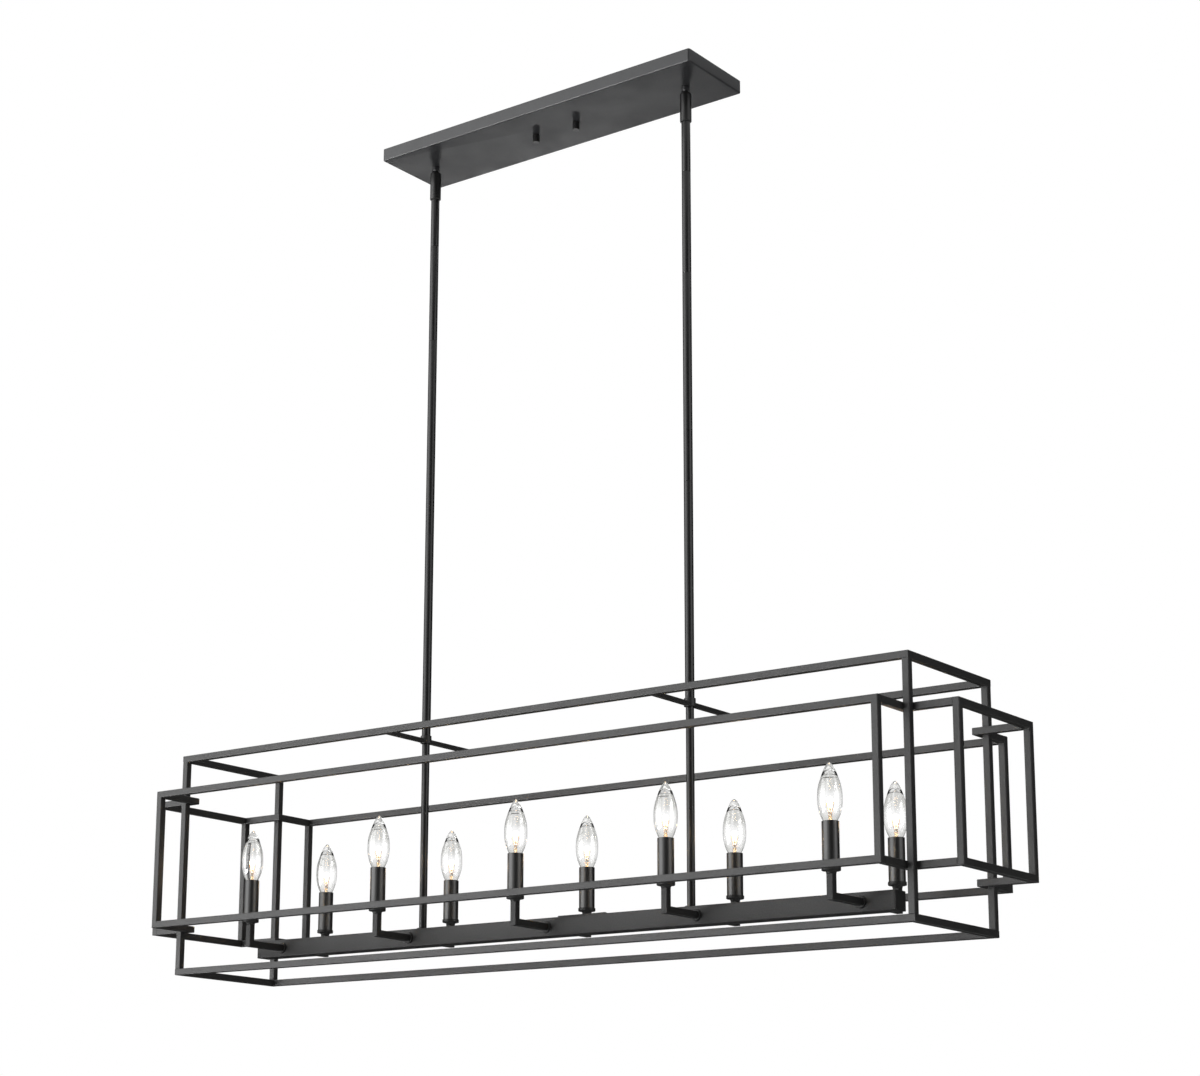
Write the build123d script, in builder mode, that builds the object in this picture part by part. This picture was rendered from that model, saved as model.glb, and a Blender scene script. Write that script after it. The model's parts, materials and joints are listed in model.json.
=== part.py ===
"""Linear island pendant: a long ceiling pan, two jointed hanging rods, an open cage of square tube
and a square beam that carries ten candle lamps in two rows.

Millimetres, +Z up. The origin is the middle of the pan's rim, on the ceiling face, and the lamp
hangs towards -Z. +X runs along the length and -Y is the front.
"""

import os
from math import radians, sqrt, tan

from build123d import *

os.makedirs("parts", exist_ok=True)

# ---------------------------------------------------------------- driving dimensions
# Hairline at every welded or screwed butt joint, so that each piece stays a solid of its own
seam = 0.1
# Radial play between a thread and its hole
thread_play = 0.05

# Ceiling pan
pan_length = 565.0
pan_width = 133.0
pan_height = 19.0
pan_wall = 1.2
pan_corner_radius = 3.0
pan_edge_radius = 1.6

# Plate that is screwed to the outlet box, with the slots for its two screws
plate_length = 112.0
plate_width = 112.0
plate_thickness = 2.0
plate_corner_radius = 5.0
plate_slot_spacing = 88.9
plate_slot_width = 4.8
plate_slot_length = 14.0
plate_wire_hole_radius = 14.0

# Studs of the plate and the knurled nuts that hold the pan up
stud_spacing = 74.0
stud_radius = 2.0
stud_nut_flats = 7.0
stud_nut_height = 3.2
knurled_nut_radius = 5.2
knurled_nut_height = 12.0
knurled_nut_floor = 2.6
knurled_nut_edge = 0.8
knurl_count = 24
knurl_radius = 0.42
nut_to_pan_gap = 0.3

# Ground screw under the plate
ground_screw_x = -24.0
ground_screw_y = 34.0
ground_head_radius = 3.8
ground_head_height = 2.4
ground_shank_radius = 1.9

# Hanging rods: distance of each from the middle, and the two ball swivels
rod_offset_x = 231.6
swivel_ball_radius = 4.2
swivel_ball_play = 0.3
swivel_socket_radius = 5.6
swivel_socket_drop = 7.0
swivel_mouth_radius = 3.8
swivel_thread_radius = 4.85
swivel_thread_rise = 5.8
swivel_lip_round = 0.6
swivel_neck_radius = 2.3
swivel_neck_gap = 2.5
swivel_foot_radius = 4.0
swivel_foot_length = 10.0
lead_bore_radius = 1.7
socket_washer_radius = 10.0
socket_washer_thickness = 0.8
socket_nut_flats = 14.0
socket_nut_height = 3.5

# Coupler under each ball
coupler_radius = 8.25
coupler_length = 45.5
coupler_shoulder = 3.9
coupler_foot_chamfer = 1.2

# Round rods, from the coupler down: one short, one medium, two long on each side
rod_radius = 6.35
rod_bore_radius = 3.0
short_rod_length = 76.2
medium_rod_length = 152.4
long_rod_length = 304.8
nipple_radius = 4.0
nipple_bore_radius = 2.6
nipple_length = 20.0

# Thinner stem inside the cage, its foot disc and its nut in the beam
stem_radius = 5.55
stem_foot_radius = 8.5
stem_foot_thickness = 1.5
stem_nut_flats = 13.0
stem_nut_height = 4.0

# Cage of square tube: tall narrow box, and the wide ring frames round its middle
tube = 9.5
tube_wall = 1.2
tube_corner_radius = 0.9
box_length = 1248.0
box_width = 214.0
box_height = 332.0
ring_end_reach = 62.0
ring_side_reach = 61.0
ring_height = 204.0

# Depthwise bars in the top of the box, with a round boss that the rod passes through
crossbar = 6.35
crossbar_wall = 1.0
crossbar_corner_radius = 0.6
boss_radius = 8.0
boss_proud = 4.5
boss_drop = 0.2
boss_play = 0.05

# Square beam low in the box
beam_length = 1090.0
beam = 25.4
beam_wall = 1.5
beam_corner_radius = 1.0
beam_above_box_floor = 29.0
end_cap_thickness = 1.5
end_cap_plug_length = 6.0
end_cap_plug_play = 0.15
cover_x = 57.0
cover_length = 78.0
cover_width = 20.0
cover_thickness = 1.6
cover_hole_length = 50.0
cover_hole_width = 12.0
cover_screw_spacing = 66.0
cover_screw_radius = 1.4
cover_head_radius = 2.6
cover_head_height = 1.2
cover_screw_length = 6.0

# Ten candle lamps, five stations with one lamp in front and one behind
station_count = 5
station_end_inset = 50.0
lamp_offset_y = 82.0
arm_above_beam = 27.9
flange_radius = 8.0
flange_thickness = 2.5
flange_plug_length = 10.0
flange_plug_play = 0.1
flange_thread_radius = 3.6
flange_thread_length = 5.5
arm_nut_flats = 10.0
arm_nut_height = 2.5

cup_foot_radius = 6.4
cup_cove_radius = 8.4
cup_cove_height = 3.3
cup_rim_radius = 12.1
cup_rim_height = 4.6
cup_rim_round = 1.0
cup_wall = 0.8
cup_floor = 1.7
cup_edge = 0.5

sleeve_radius = 11.0
sleeve_wall = 0.8
sleeve_length = 60.2
sleeve_seat_gap = 0.2

lamp_socket_radius = 9.2
lamp_socket_stud_radius = 3.1
lamp_socket_stud_length = 9.0
lamp_socket_below_sleeve = 8.0
lamp_socket_bore_play = 0.35

# Candle bulb above the sleeve's mouth: half width at heights from the neck to the tip
bulb_neck_drop = 7.0
bulb_neck_radius = 6.4
bulb_mouth_radius = 9.5
bulb_belly_radius = 15.6
bulb_belly_height = 29.0
bulb_height = 74.5
bulb_tip_radius = 1.2
bulb_neck_direction = (0.25, 1.0)
bulb_tip_direction = (-1.0, 0.9)
bulb_glass = 0.8
bulb_base_radius = 5.95
bulb_base_length = 16.5
bulb_contact_radius = 2.4
bulb_contact_length = 2.0
bulb_seat_gap = 0.3

# Wiring
lead_radius = 1.3
lead_arc_share = 0.45
lead_elbow_play = 0.3
trunk_lead_radius = 2.4
canopy_lead_depth = 5.0
canopy_lead_side = 40.0
canopy_lead_run = 96.0
connector_radius = 5.4
connector_tip_radius = 3.2
connector_length = 22.0
connector_x = 34.0
connector_depth = 9.0

# ---------------------------------------------------------------- heights, from the ceiling down
pan_floor_z = -pan_height + pan_wall
pan_underside_z = -pan_height
swivel_lip_z = pan_underside_z - swivel_socket_drop
ball_cavity_radius = swivel_ball_radius + swivel_ball_play
ball_z = swivel_lip_z + sqrt(ball_cavity_radius**2 - swivel_mouth_radius**2)
coupler_top_z = swivel_lip_z - swivel_neck_gap
coupler_bottom_z = coupler_top_z - coupler_length
medium_rod_top_z = coupler_bottom_z - short_rod_length
upper_long_rod_top_z = medium_rod_top_z - medium_rod_length
lower_long_rod_top_z = upper_long_rod_top_z - long_rod_length
stem_top_z = lower_long_rod_top_z - long_rod_length
box_top_z = stem_top_z - boss_proud
box_bottom_z = box_top_z - box_height
ring_middle_z = box_top_z - box_height / 2
ring_top_z = ring_middle_z + ring_height / 2
ring_bottom_z = ring_middle_z - ring_height / 2
beam_middle_z = box_bottom_z + beam_above_box_floor + beam / 2
beam_top_z = beam_middle_z + beam / 2
stem_bottom_z = beam_top_z + stem_foot_thickness
arm_top_z = beam_middle_z + arm_above_beam
cup_rim_z = arm_top_z + cup_cove_height
cup_floor_z = cup_rim_z + cup_floor
sleeve_bottom_z = cup_floor_z + sleeve_seat_gap
sleeve_top_z = sleeve_bottom_z + sleeve_length
lamp_socket_top_z = sleeve_top_z - lamp_socket_below_sleeve
bulb_base_top_z = sleeve_top_z - bulb_neck_drop - seam
bulb_contact_z = bulb_base_top_z - bulb_base_length
lamp_socket_floor_z = bulb_contact_z - bulb_contact_length - bulb_seat_gap

# ---------------------------------------------------------------- places along and across
rod_xs = (-rod_offset_x, rod_offset_x)
stud_xs = (-stud_spacing / 2, stud_spacing / 2)
station_pitch = (beam_length - 2 * station_end_inset) / (station_count - 1)
station_xs = [station_pitch * (index - (station_count - 1) / 2) for index in range(station_count)]
post_x = box_length / 2 - tube / 2
post_y = box_width / 2 - tube / 2
notch_x = post_x - tube
notch_y = post_y - tube
ring_end_x = box_length / 2 + ring_end_reach - tube / 2
ring_side_y = box_width / 2 + ring_side_reach - tube / 2
box_high_z = box_top_z - tube / 2
box_low_z = box_bottom_z + tube / 2
ring_high_z = ring_top_z - tube / 2
ring_low_z = ring_bottom_z + tube / 2


# ---------------------------------------------------------------- shared shapes
def axis_plane(x, y=0.0):
    """Upright plane through (x, y) whose local X is the radius and local Y is the height."""
    return Plane(origin=(x, y, 0), x_dir=(1, 0, 0), z_dir=(0, -1, 0))


def upright_axis(x, y=0.0):
    """Vertical axis through (x, y)."""
    return Axis((x, y, 0), (0, 0, 1))


def ring(x, y, bottom_z, height, outer_radius, bore_radius):
    """Flat-ended round tube that stands on bottom_z."""
    with BuildPart() as piece:
        with BuildSketch(Plane((x, y, bottom_z))):
            Circle(outer_radius)
            Circle(bore_radius, mode=Mode.SUBTRACT)
        extrude(amount=height)
    return piece.part


def hex_nut(plane, flats, height, bore_radius):
    """Plain hexagon nut that grows along the plane's normal."""
    with BuildPart() as piece:
        with BuildSketch(plane):
            RegularPolygon(flats / 2, 6, major_radius=False)
            Circle(bore_radius, mode=Mode.SUBTRACT)
        extrude(amount=height)
    return piece.part


def square_tube(start, end, inward, start_cut="mitre", end_cut="mitre", size=tube, wall=tube_wall,
                corner=tube_corner_radius, gap=seam):
    """Hollow square tube along the centre line from start to end.

    inward points to the inside of the corner. A mitre passes through the end point, a butt stops
    half a tube short of it, against the side of the tube that it meets there, and a flush end
    stops at the point.
    """
    start, end, inward = Vector(start), Vector(end), Vector(inward)
    along = (end - start).normalized()
    length = (end - start).length
    reach = {"mitre": (size / 2, -size / 2), "butt": (-tube / 2, -tube / 2), "flush": (0, 0)}
    outer_start, inner_start = (reach[start_cut][0] - gap / 2, reach[start_cut][1] - gap / 2)
    outer_end, inner_end = (reach[end_cut][0] - gap / 2, reach[end_cut][1] - gap / 2)
    with BuildPart() as piece:
        with BuildSketch(Plane(origin=start - along * size, x_dir=inward, z_dir=along)):
            RectangleRounded(size, size, corner)
            RectangleRounded(size - 2 * wall, size - 2 * wall, corner / 2, mode=Mode.SUBTRACT)
        extrude(amount=length + 2 * size)
        with BuildSketch(Plane(origin=start, x_dir=along, z_dir=along.cross(inward))):
            Polygon(
                (-outer_start, -size),
                (length + outer_end, -size),
                (length + outer_end, -size / 2),
                (length + inner_end, size / 2),
                (length + inner_end, size),
                (-inner_start, size),
                (-inner_start, size / 2),
                (-outer_start, -size / 2),
                align=None,
            )
        extrude(amount=size, both=True, mode=Mode.INTERSECT)
    return piece.part


def widest_arcs(points):
    """Radius for each corner of a route, as large as its two runs allow."""
    runs = [Vector(after) - Vector(before) for before, after in zip(points, points[1:])]
    return [
        lead_arc_share * min(before.length, after.length) / tan(radians(before.get_angle(after)) / 2)
        for before, after in zip(runs, runs[1:])
    ]


def lead(points, radii):
    """Insulated wire: straight runs joined by tangent arcs."""
    with BuildPart() as piece:
        with BuildLine() as route:
            FilletPolyline(*points, radius=radii)
        with BuildSketch(Plane(origin=route.line @ 0, z_dir=route.line % 0)):
            Circle(lead_radius)
        sweep()
    return piece.part


def group(pieces):
    """Pieces that share a node and stay separate solids."""
    with BuildPart() as whole:
        for piece in pieces:
            add(piece)
    return whole


def write(name, builder):
    """Labels a finished sub-part and writes its STEP file."""
    builder.part.label = name
    export_step(builder.part, f"parts/{name}.step")


# ---------------------------------------------------------------- ceiling pan and its plate
def make_pan():
    """Open-topped pan of sheet steel, rim against the ceiling."""
    with BuildPart() as canopy_pan:
        with BuildSketch():
            RectangleRounded(pan_length, pan_width, pan_corner_radius)
        extrude(amount=-pan_height)
        fillet(canopy_pan.faces().sort_by(Axis.Z)[0].edges(), pan_edge_radius)
        with BuildSketch():
            RectangleRounded(pan_length - 2 * pan_wall, pan_width - 2 * pan_wall,
                             pan_corner_radius - pan_wall)
        extrude(amount=-pan_height + pan_wall, mode=Mode.SUBTRACT)
        with BuildSketch(Plane.XY.offset(pan_underside_z)):
            with Locations(*[(x, 0) for x in rod_xs]):
                Circle(swivel_thread_radius + thread_play)
            with Locations(*[(x, 0) for x in stud_xs]):
                Circle(stud_radius + nut_to_pan_gap)
        extrude(amount=pan_wall, mode=Mode.SUBTRACT)
    write("canopy_pan", canopy_pan)


def make_mounting_plate():
    """Flat plate on the outlet box, with a wire hole, two slots and two stud holes."""
    with BuildPart() as mounting_plate:
        with BuildSketch():
            RectangleRounded(plate_length, plate_width, plate_corner_radius)
            Circle(plate_wire_hole_radius, mode=Mode.SUBTRACT)
            with Locations((0, -plate_slot_spacing / 2), (0, plate_slot_spacing / 2)):
                SlotOverall(plate_slot_length, plate_slot_width, rotation=90, mode=Mode.SUBTRACT)
            with Locations(*[(x, 0) for x in stud_xs]):
                Circle(stud_radius + thread_play, mode=Mode.SUBTRACT)
            with Locations((ground_screw_x, ground_screw_y)):
                Circle(ground_shank_radius + thread_play, mode=Mode.SUBTRACT)
        extrude(amount=-plate_thickness)
    write("mounting_plate", mounting_plate)


def make_plate_fasteners():
    """Studs, their lock nuts and the ground screw."""
    stud_length = pan_height + nut_to_pan_gap + knurled_nut_height - knurled_nut_floor - seam
    nut_z = -plate_thickness - seam - stud_nut_height
    with BuildPart() as plate_studs:
        with BuildSketch(Plane.XY.offset(-stud_length)):
            with Locations(*[(x, 0) for x in stud_xs]):
                Circle(stud_radius)
        extrude(amount=stud_length)
    write("plate_studs", plate_studs)

    nuts = [hex_nut(Plane((x, 0, nut_z)), stud_nut_flats, stud_nut_height, stud_radius + thread_play)
            for x in stud_xs]
    write("stud_lock_nuts", group(nuts))

    with BuildPart() as ground_screw:
        with BuildSketch(Plane((ground_screw_x, ground_screw_y, -plate_thickness - seam))):
            Circle(ground_head_radius)
        extrude(amount=-ground_head_height)
        fillet(ground_screw.faces().sort_by(Axis.Z)[0].edges(), ground_head_height / 2)
        with BuildSketch(Plane((ground_screw_x, ground_screw_y, -plate_thickness - seam))):
            Circle(ground_shank_radius)
        extrude(amount=plate_thickness + seam)
    write("ground_screw", ground_screw)


def make_knurled_nut(name, x):
    """Round nut with straight knurling and a blind thread."""
    top_z = pan_underside_z - nut_to_pan_gap
    with BuildPart() as canopy_nut:
        with BuildSketch(Plane((x, 0, top_z))):
            Circle(knurled_nut_radius)
        extrude(amount=-knurled_nut_height)
        chamfer(canopy_nut.edges().group_by(Axis.Z)[0], knurled_nut_edge)
        chamfer(canopy_nut.edges().group_by(Axis.Z)[-1], knurled_nut_edge / 2)
        with BuildSketch(Plane((x, 0, top_z))):
            with PolarLocations(knurled_nut_radius, knurl_count):
                Circle(knurl_radius)
        extrude(amount=-knurled_nut_height, mode=Mode.SUBTRACT)
        with BuildSketch(Plane((x, 0, top_z))):
            Circle(stud_radius + thread_play)
        extrude(amount=-knurled_nut_height + knurled_nut_floor, mode=Mode.SUBTRACT)
    write(name, canopy_nut)


# ---------------------------------------------------------------- ball swivels
def make_swivel_socket(name, x):
    """Round socket under the pan, its threaded neck going up through the pan."""
    thread_top_z = pan_floor_z + swivel_thread_rise
    with BuildPart() as swivel_socket:
        with BuildSketch(axis_plane(x)):
            with BuildLine():
                Polyline(
                    (0, thread_top_z),
                    (swivel_thread_radius, thread_top_z),
                    (swivel_thread_radius, pan_underside_z - seam),
                    (swivel_socket_radius, pan_underside_z - seam),
                    (swivel_socket_radius, swivel_lip_z),
                    (0, swivel_lip_z),
                    close=True,
                )
            make_face()
        revolve(axis=upright_axis(x))
        fillet(swivel_socket.edges().group_by(Axis.Z)[0], swivel_lip_round)
        with Locations((x, 0, ball_z)):
            Sphere(ball_cavity_radius, mode=Mode.SUBTRACT)
        with BuildSketch(Plane((x, 0, ball_z))):
            Circle(swivel_mouth_radius)
        extrude(amount=-ball_cavity_radius, mode=Mode.SUBTRACT)
        with BuildSketch(Plane((x, 0, ball_z))):
            Circle(lead_bore_radius)
        extrude(amount=thread_top_z - ball_z, mode=Mode.SUBTRACT)
    write(name, swivel_socket)


def make_socket_fasteners():
    """Washer and lock nut that hold each socket's neck in the pan."""
    bore_radius = swivel_thread_radius + thread_play
    nut_z = pan_floor_z + socket_washer_thickness + 2 * seam
    washers = [ring(x, 0, pan_floor_z + seam, socket_washer_thickness, socket_washer_radius, bore_radius)
               for x in rod_xs]
    nuts = [hex_nut(Plane((x, 0, nut_z)), socket_nut_flats, socket_nut_height, bore_radius)
            for x in rod_xs]
    write("socket_washers", group(washers))
    write("socket_lock_nuts", group(nuts))


def make_swivel_ball(name, x):
    """Ball with a neck and a threaded foot that screws into the coupler."""
    foot_bottom_z = coupler_top_z - swivel_foot_length
    with BuildPart() as swivel_ball:
        with Locations((x, 0, ball_z)):
            Sphere(swivel_ball_radius)
        with BuildSketch(Plane((x, 0, ball_z))):
            Circle(swivel_neck_radius)
        extrude(amount=coupler_top_z - ball_z)
        with BuildSketch(Plane((x, 0, coupler_top_z))):
            Circle(swivel_foot_radius)
        extrude(amount=-swivel_foot_length)
        with BuildSketch(Plane((x, 0, foot_bottom_z))):
            Circle(lead_bore_radius)
        extrude(amount=ball_z + swivel_ball_radius - foot_bottom_z, mode=Mode.SUBTRACT)
    write(name, swivel_ball)


def make_coupler(name, x):
    """Thick round coupler with a rounded shoulder, threaded at both ends."""
    with BuildPart() as coupler:
        with BuildSketch(Plane((x, 0, coupler_bottom_z + seam))):
            Circle(coupler_radius)
        extrude(amount=coupler_length - seam)
        fillet(coupler.edges().group_by(Axis.Z)[-1], coupler_shoulder)
        chamfer(coupler.edges().group_by(Axis.Z)[0], coupler_foot_chamfer)
        with BuildSketch(Plane((x, 0, coupler_bottom_z))):
            Circle(rod_bore_radius)
        extrude(amount=coupler_length, mode=Mode.SUBTRACT)
        with BuildSketch(Plane((x, 0, coupler_top_z))):
            Circle(swivel_foot_radius + thread_play)
        extrude(amount=-swivel_foot_length - seam, mode=Mode.SUBTRACT)
        with BuildSketch(Plane((x, 0, coupler_bottom_z))):
            Circle(nipple_radius + thread_play)
        extrude(amount=nipple_length / 2 + seam, mode=Mode.SUBTRACT)
    write(name, coupler)


# ---------------------------------------------------------------- rods and stems
def round_rod(x, top_z, length, radius):
    """Round rod with a wire bore and a threaded pocket in each end."""
    bottom_z = top_z - length
    pocket_radius = nipple_radius + thread_play
    with BuildPart() as piece:
        with BuildSketch(Plane((x, 0, bottom_z + seam))):
            Circle(radius)
            Circle(rod_bore_radius, mode=Mode.SUBTRACT)
        extrude(amount=length - seam)
        with BuildSketch(Plane((x, 0, bottom_z))):
            Circle(pocket_radius)
        extrude(amount=nipple_length / 2 + seam, mode=Mode.SUBTRACT)
        with BuildSketch(Plane((x, 0, top_z))):
            Circle(pocket_radius)
        extrude(amount=-nipple_length / 2 - seam, mode=Mode.SUBTRACT)
    return piece.part


def make_rods():
    """Short, medium and long rods on both sides, and the nipples that join them."""
    write("rods_short", group(
        round_rod(x, coupler_bottom_z, short_rod_length, rod_radius) for x in rod_xs))
    write("rods_medium", group(
        round_rod(x, medium_rod_top_z, medium_rod_length, rod_radius) for x in rod_xs))
    write("rods_long", group(
        round_rod(x, top_z, long_rod_length, rod_radius)
        for x in rod_xs for top_z in (upper_long_rod_top_z, lower_long_rod_top_z)))
    joint_zs = (coupler_bottom_z, medium_rod_top_z, upper_long_rod_top_z, lower_long_rod_top_z,
                stem_top_z, stem_bottom_z)
    write("rod_nipples", group(
        ring(x, 0, z - nipple_length / 2, nipple_length, nipple_radius, nipple_bore_radius)
        for x in rod_xs for z in joint_zs))


def make_stems():
    """Stem inside the cage, the disc under its foot and the nut that draws it to the beam."""
    for name, x in (("lower_stem_left", -rod_offset_x), ("lower_stem_right", rod_offset_x)):
        stem = round_rod(x, stem_top_z, stem_top_z - stem_bottom_z, stem_radius)
        write(name, group([stem]))
    bore_radius = nipple_radius + thread_play
    write("stem_flanges", group(
        ring(x, 0, beam_top_z + seam / 2, stem_foot_thickness - seam / 2, stem_foot_radius, bore_radius)
        for x in rod_xs))
    nut_z = beam_top_z - beam_wall - seam - stem_nut_height
    write("stem_nuts", group(
        hex_nut(Plane((x, 0, nut_z)), stem_nut_flats, stem_nut_height, bore_radius) for x in rod_xs))


# ---------------------------------------------------------------- cage
def make_box():
    """Tall box: eight rails mitred in plan and four posts between them."""
    levels = (box_low_z, box_high_z)
    long_rails = [square_tube((-post_x, side * post_y, z), (post_x, side * post_y, z), (0, -side, 0))
                  for side in (-1, 1) for z in levels]
    end_rails = [square_tube((end * post_x, -post_y, z), (end * post_x, post_y, z), (-end, 0, 0))
                 for end in (-1, 1) for z in levels]
    posts = [square_tube((end * post_x, side * post_y, box_low_z), (end * post_x, side * post_y, box_high_z),
                         (-end, 0, 0), "butt", "butt")
             for end in (-1, 1) for side in (-1, 1)]
    write("box_long_rails", group(long_rails))
    write("box_end_rails", group(end_rails))
    write("box_posts", group(posts))


def upright_frame(corner_a, corner_b):
    """Rectangular frame of four mitred tubes between two upright corner lines."""
    low_a, high_a = Vector(*corner_a, ring_low_z), Vector(*corner_a, ring_high_z)
    low_b, high_b = Vector(*corner_b, ring_low_z), Vector(*corner_b, ring_high_z)
    across = (low_b - low_a).normalized()
    return [
        square_tube(low_a, low_b, (0, 0, 1)),
        square_tube(high_a, high_b, (0, 0, -1)),
        square_tube(low_a, high_a, across),
        square_tube(low_b, high_b, across * -1),
    ]


def make_ring():
    """Four upright frames that stand out round the box, tied in the notches by short returns."""
    write("ring_front_frame", group(
        upright_frame((-notch_x, -ring_side_y), (notch_x, -ring_side_y))))
    write("ring_back_frame", group(
        upright_frame((-notch_x, ring_side_y), (notch_x, ring_side_y))))
    write("ring_left_frame", group(
        upright_frame((-ring_end_x, -notch_y), (-ring_end_x, notch_y))))
    write("ring_right_frame", group(
        upright_frame((ring_end_x, -notch_y), (ring_end_x, notch_y))))
    returns = []
    for end in (-1, 1):
        for side in (-1, 1):
            for z in (ring_low_z, ring_high_z):
                inner_corner = (end * notch_x, side * notch_y, z)
                from_side = (end * notch_x, side * ring_side_y, z)
                from_end = (end * ring_end_x, side * notch_y, z)
                returns.append(square_tube(from_side, inner_corner, (end, 0, 0), "butt", "mitre"))
                returns.append(square_tube(from_end, inner_corner, (0, side, 0), "butt", "mitre"))
    write("ring_returns", group(returns))


def make_crossbars():
    """Two depthwise bars in the top of the box, each in two halves welded to a round boss."""
    bar_z = box_top_z - crossbar / 2
    rail_face_y = post_y - tube / 2
    boss_bottom_z = box_top_z - crossbar - boss_drop
    for name, x in (("crossbar_left", -rod_offset_x), ("crossbar_right", rod_offset_x)):
        with BuildPart() as bar:
            add(square_tube((x, -rail_face_y, bar_z), (x, rail_face_y, bar_z), (1, 0, 0), "flush", "flush",
                            crossbar, crossbar_wall, crossbar_corner_radius))
            with BuildSketch(Plane((x, 0, bar_z))):
                Circle(boss_radius + seam)
            extrude(amount=crossbar, both=True, mode=Mode.SUBTRACT)
        write(name, bar)
    write("crossbar_bosses", group(
        ring(x, 0, boss_bottom_z, stem_top_z - boss_bottom_z, boss_radius, stem_radius + boss_play)
        for x in rod_xs))


# ---------------------------------------------------------------- beam
def make_beam():
    """Square tube with holes for the stems, the arms and the wiring, its caps and its cover."""
    tube_length = beam_length - 2 * end_cap_thickness - 2 * seam
    with BuildPart() as beam_tube:
        with BuildSketch(Plane((-tube_length / 2, 0, beam_middle_z), x_dir=(0, 1, 0), z_dir=(1, 0, 0))):
            RectangleRounded(beam, beam, beam_corner_radius)
            RectangleRounded(beam - 2 * beam_wall, beam - 2 * beam_wall, beam_corner_radius / 2,
                             mode=Mode.SUBTRACT)
        extrude(amount=tube_length)
        with BuildSketch(Plane((0, 0, beam_top_z))):
            with Locations(*[(x, 0) for x in rod_xs]):
                Circle(nipple_radius + thread_play)
            with Locations((cover_x, 0)):
                SlotOverall(cover_hole_length, cover_hole_width)
            with Locations(*[(cover_x + end * cover_screw_spacing / 2, 0) for end in (-1, 1)]):
                Circle(cover_screw_radius + thread_play)
        extrude(amount=-beam_wall, mode=Mode.SUBTRACT)
        with BuildSketch(Plane((0, 0, beam_middle_z), x_dir=(1, 0, 0), z_dir=(0, -1, 0))):
            with Locations(*[(x, 0) for x in station_xs]):
                Circle(flange_thread_radius + thread_play)
        extrude(amount=beam, both=True, mode=Mode.SUBTRACT)
    write("beam_tube", beam_tube)

    plug = beam - 2 * beam_wall - 2 * end_cap_plug_play
    with BuildPart() as beam_end_caps:
        for end in (-1, 1):
            face = Plane((end * beam_length / 2, 0, beam_middle_z), x_dir=(0, 1, 0), z_dir=(-end, 0, 0))
            with BuildSketch(face):
                RectangleRounded(beam, beam, beam_corner_radius)
            extrude(amount=end_cap_thickness)
            with BuildSketch(face):
                RectangleRounded(plug, plug, beam_corner_radius / 2)
            extrude(amount=end_cap_thickness + end_cap_plug_length)
    write("beam_end_caps", beam_end_caps)

    with BuildPart() as beam_cover_plate:
        with BuildSketch(Plane((cover_x, 0, beam_top_z + seam))):
            RectangleRounded(cover_length, cover_width, beam_corner_radius)
            with GridLocations(cover_screw_spacing, 0, 2, 1):
                Circle(cover_screw_radius + thread_play, mode=Mode.SUBTRACT)
        extrude(amount=cover_thickness)
    write("beam_cover_plate", beam_cover_plate)

    head_z = beam_top_z + cover_thickness + 2 * seam
    with BuildPart() as cover_screws:
        with BuildSketch(Plane((cover_x, 0, head_z))):
            with GridLocations(cover_screw_spacing, 0, 2, 1):
                Circle(cover_head_radius)
        extrude(amount=cover_head_height)
        chamfer(cover_screws.edges().group_by(Axis.Z)[-1], cover_head_height / 3)
        with BuildSketch(Plane((cover_x, 0, head_z))):
            with GridLocations(cover_screw_spacing, 0, 2, 1):
                Circle(cover_screw_radius)
        extrude(amount=-cover_screw_length)
    write("cover_screws", cover_screws)


# ---------------------------------------------------------------- arms
def light_arm(x, side):
    """Square arm that leaves the beam level and turns up through a mitred elbow."""
    beam_face_y = side * (beam / 2 + flange_thickness + seam)
    elbow = (x, side * lamp_offset_y, beam_middle_z)
    with BuildPart() as piece:
        add(square_tube((x, beam_face_y, beam_middle_z), elbow, (0, 0, 1), "flush", "mitre", gap=0))
        add(square_tube(elbow, (x, side * lamp_offset_y, arm_top_z), (0, -side, 0), "mitre", "flush", gap=0))
    return piece.part


def arm_flange(x, side):
    """Round disc on the beam with a square plug for the arm and a threaded spigot for the nut."""
    face = Plane((x, side * (beam / 2 + seam / 2), beam_middle_z), x_dir=(1, 0, 0), z_dir=(0, side, 0))
    plug = tube - 2 * tube_wall - 2 * flange_plug_play
    with BuildPart() as piece:
        with BuildSketch(face):
            Circle(flange_radius)
        extrude(amount=flange_thickness)
        chamfer(piece.edges().group_by(Axis.Y)[0 if side < 0 else -1], flange_thickness / 4)
        with BuildSketch(face):
            RectangleRounded(plug, plug, tube_corner_radius / 2)
        extrude(amount=flange_thickness + flange_plug_length)
        with BuildSketch(face):
            Circle(flange_thread_radius)
        extrude(amount=-flange_thread_length)
        with BuildSketch(face):
            Circle(lead_bore_radius)
        extrude(amount=flange_thickness + flange_plug_length, both=True, mode=Mode.SUBTRACT)
    return piece.part


def arm_nut(x, side):
    """Hexagon nut inside the beam on an arm flange's spigot."""
    face = Plane((x, side * (beam / 2 - beam_wall - seam), beam_middle_z), x_dir=(1, 0, 0),
                 z_dir=(0, -side, 0))
    return hex_nut(face, arm_nut_flats, arm_nut_height, flange_thread_radius + thread_play)


def make_arms():
    """Five arms in front, five behind, with their flanges and nuts."""
    write("light_arms_front", group(light_arm(x, -1) for x in station_xs))
    write("light_arms_back", group(light_arm(x, 1) for x in station_xs))
    write("arm_flanges", group(arm_flange(x, side) for x in station_xs for side in (-1, 1)))
    write("arm_nuts", group(arm_nut(x, side) for x in station_xs for side in (-1, 1)))


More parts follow.
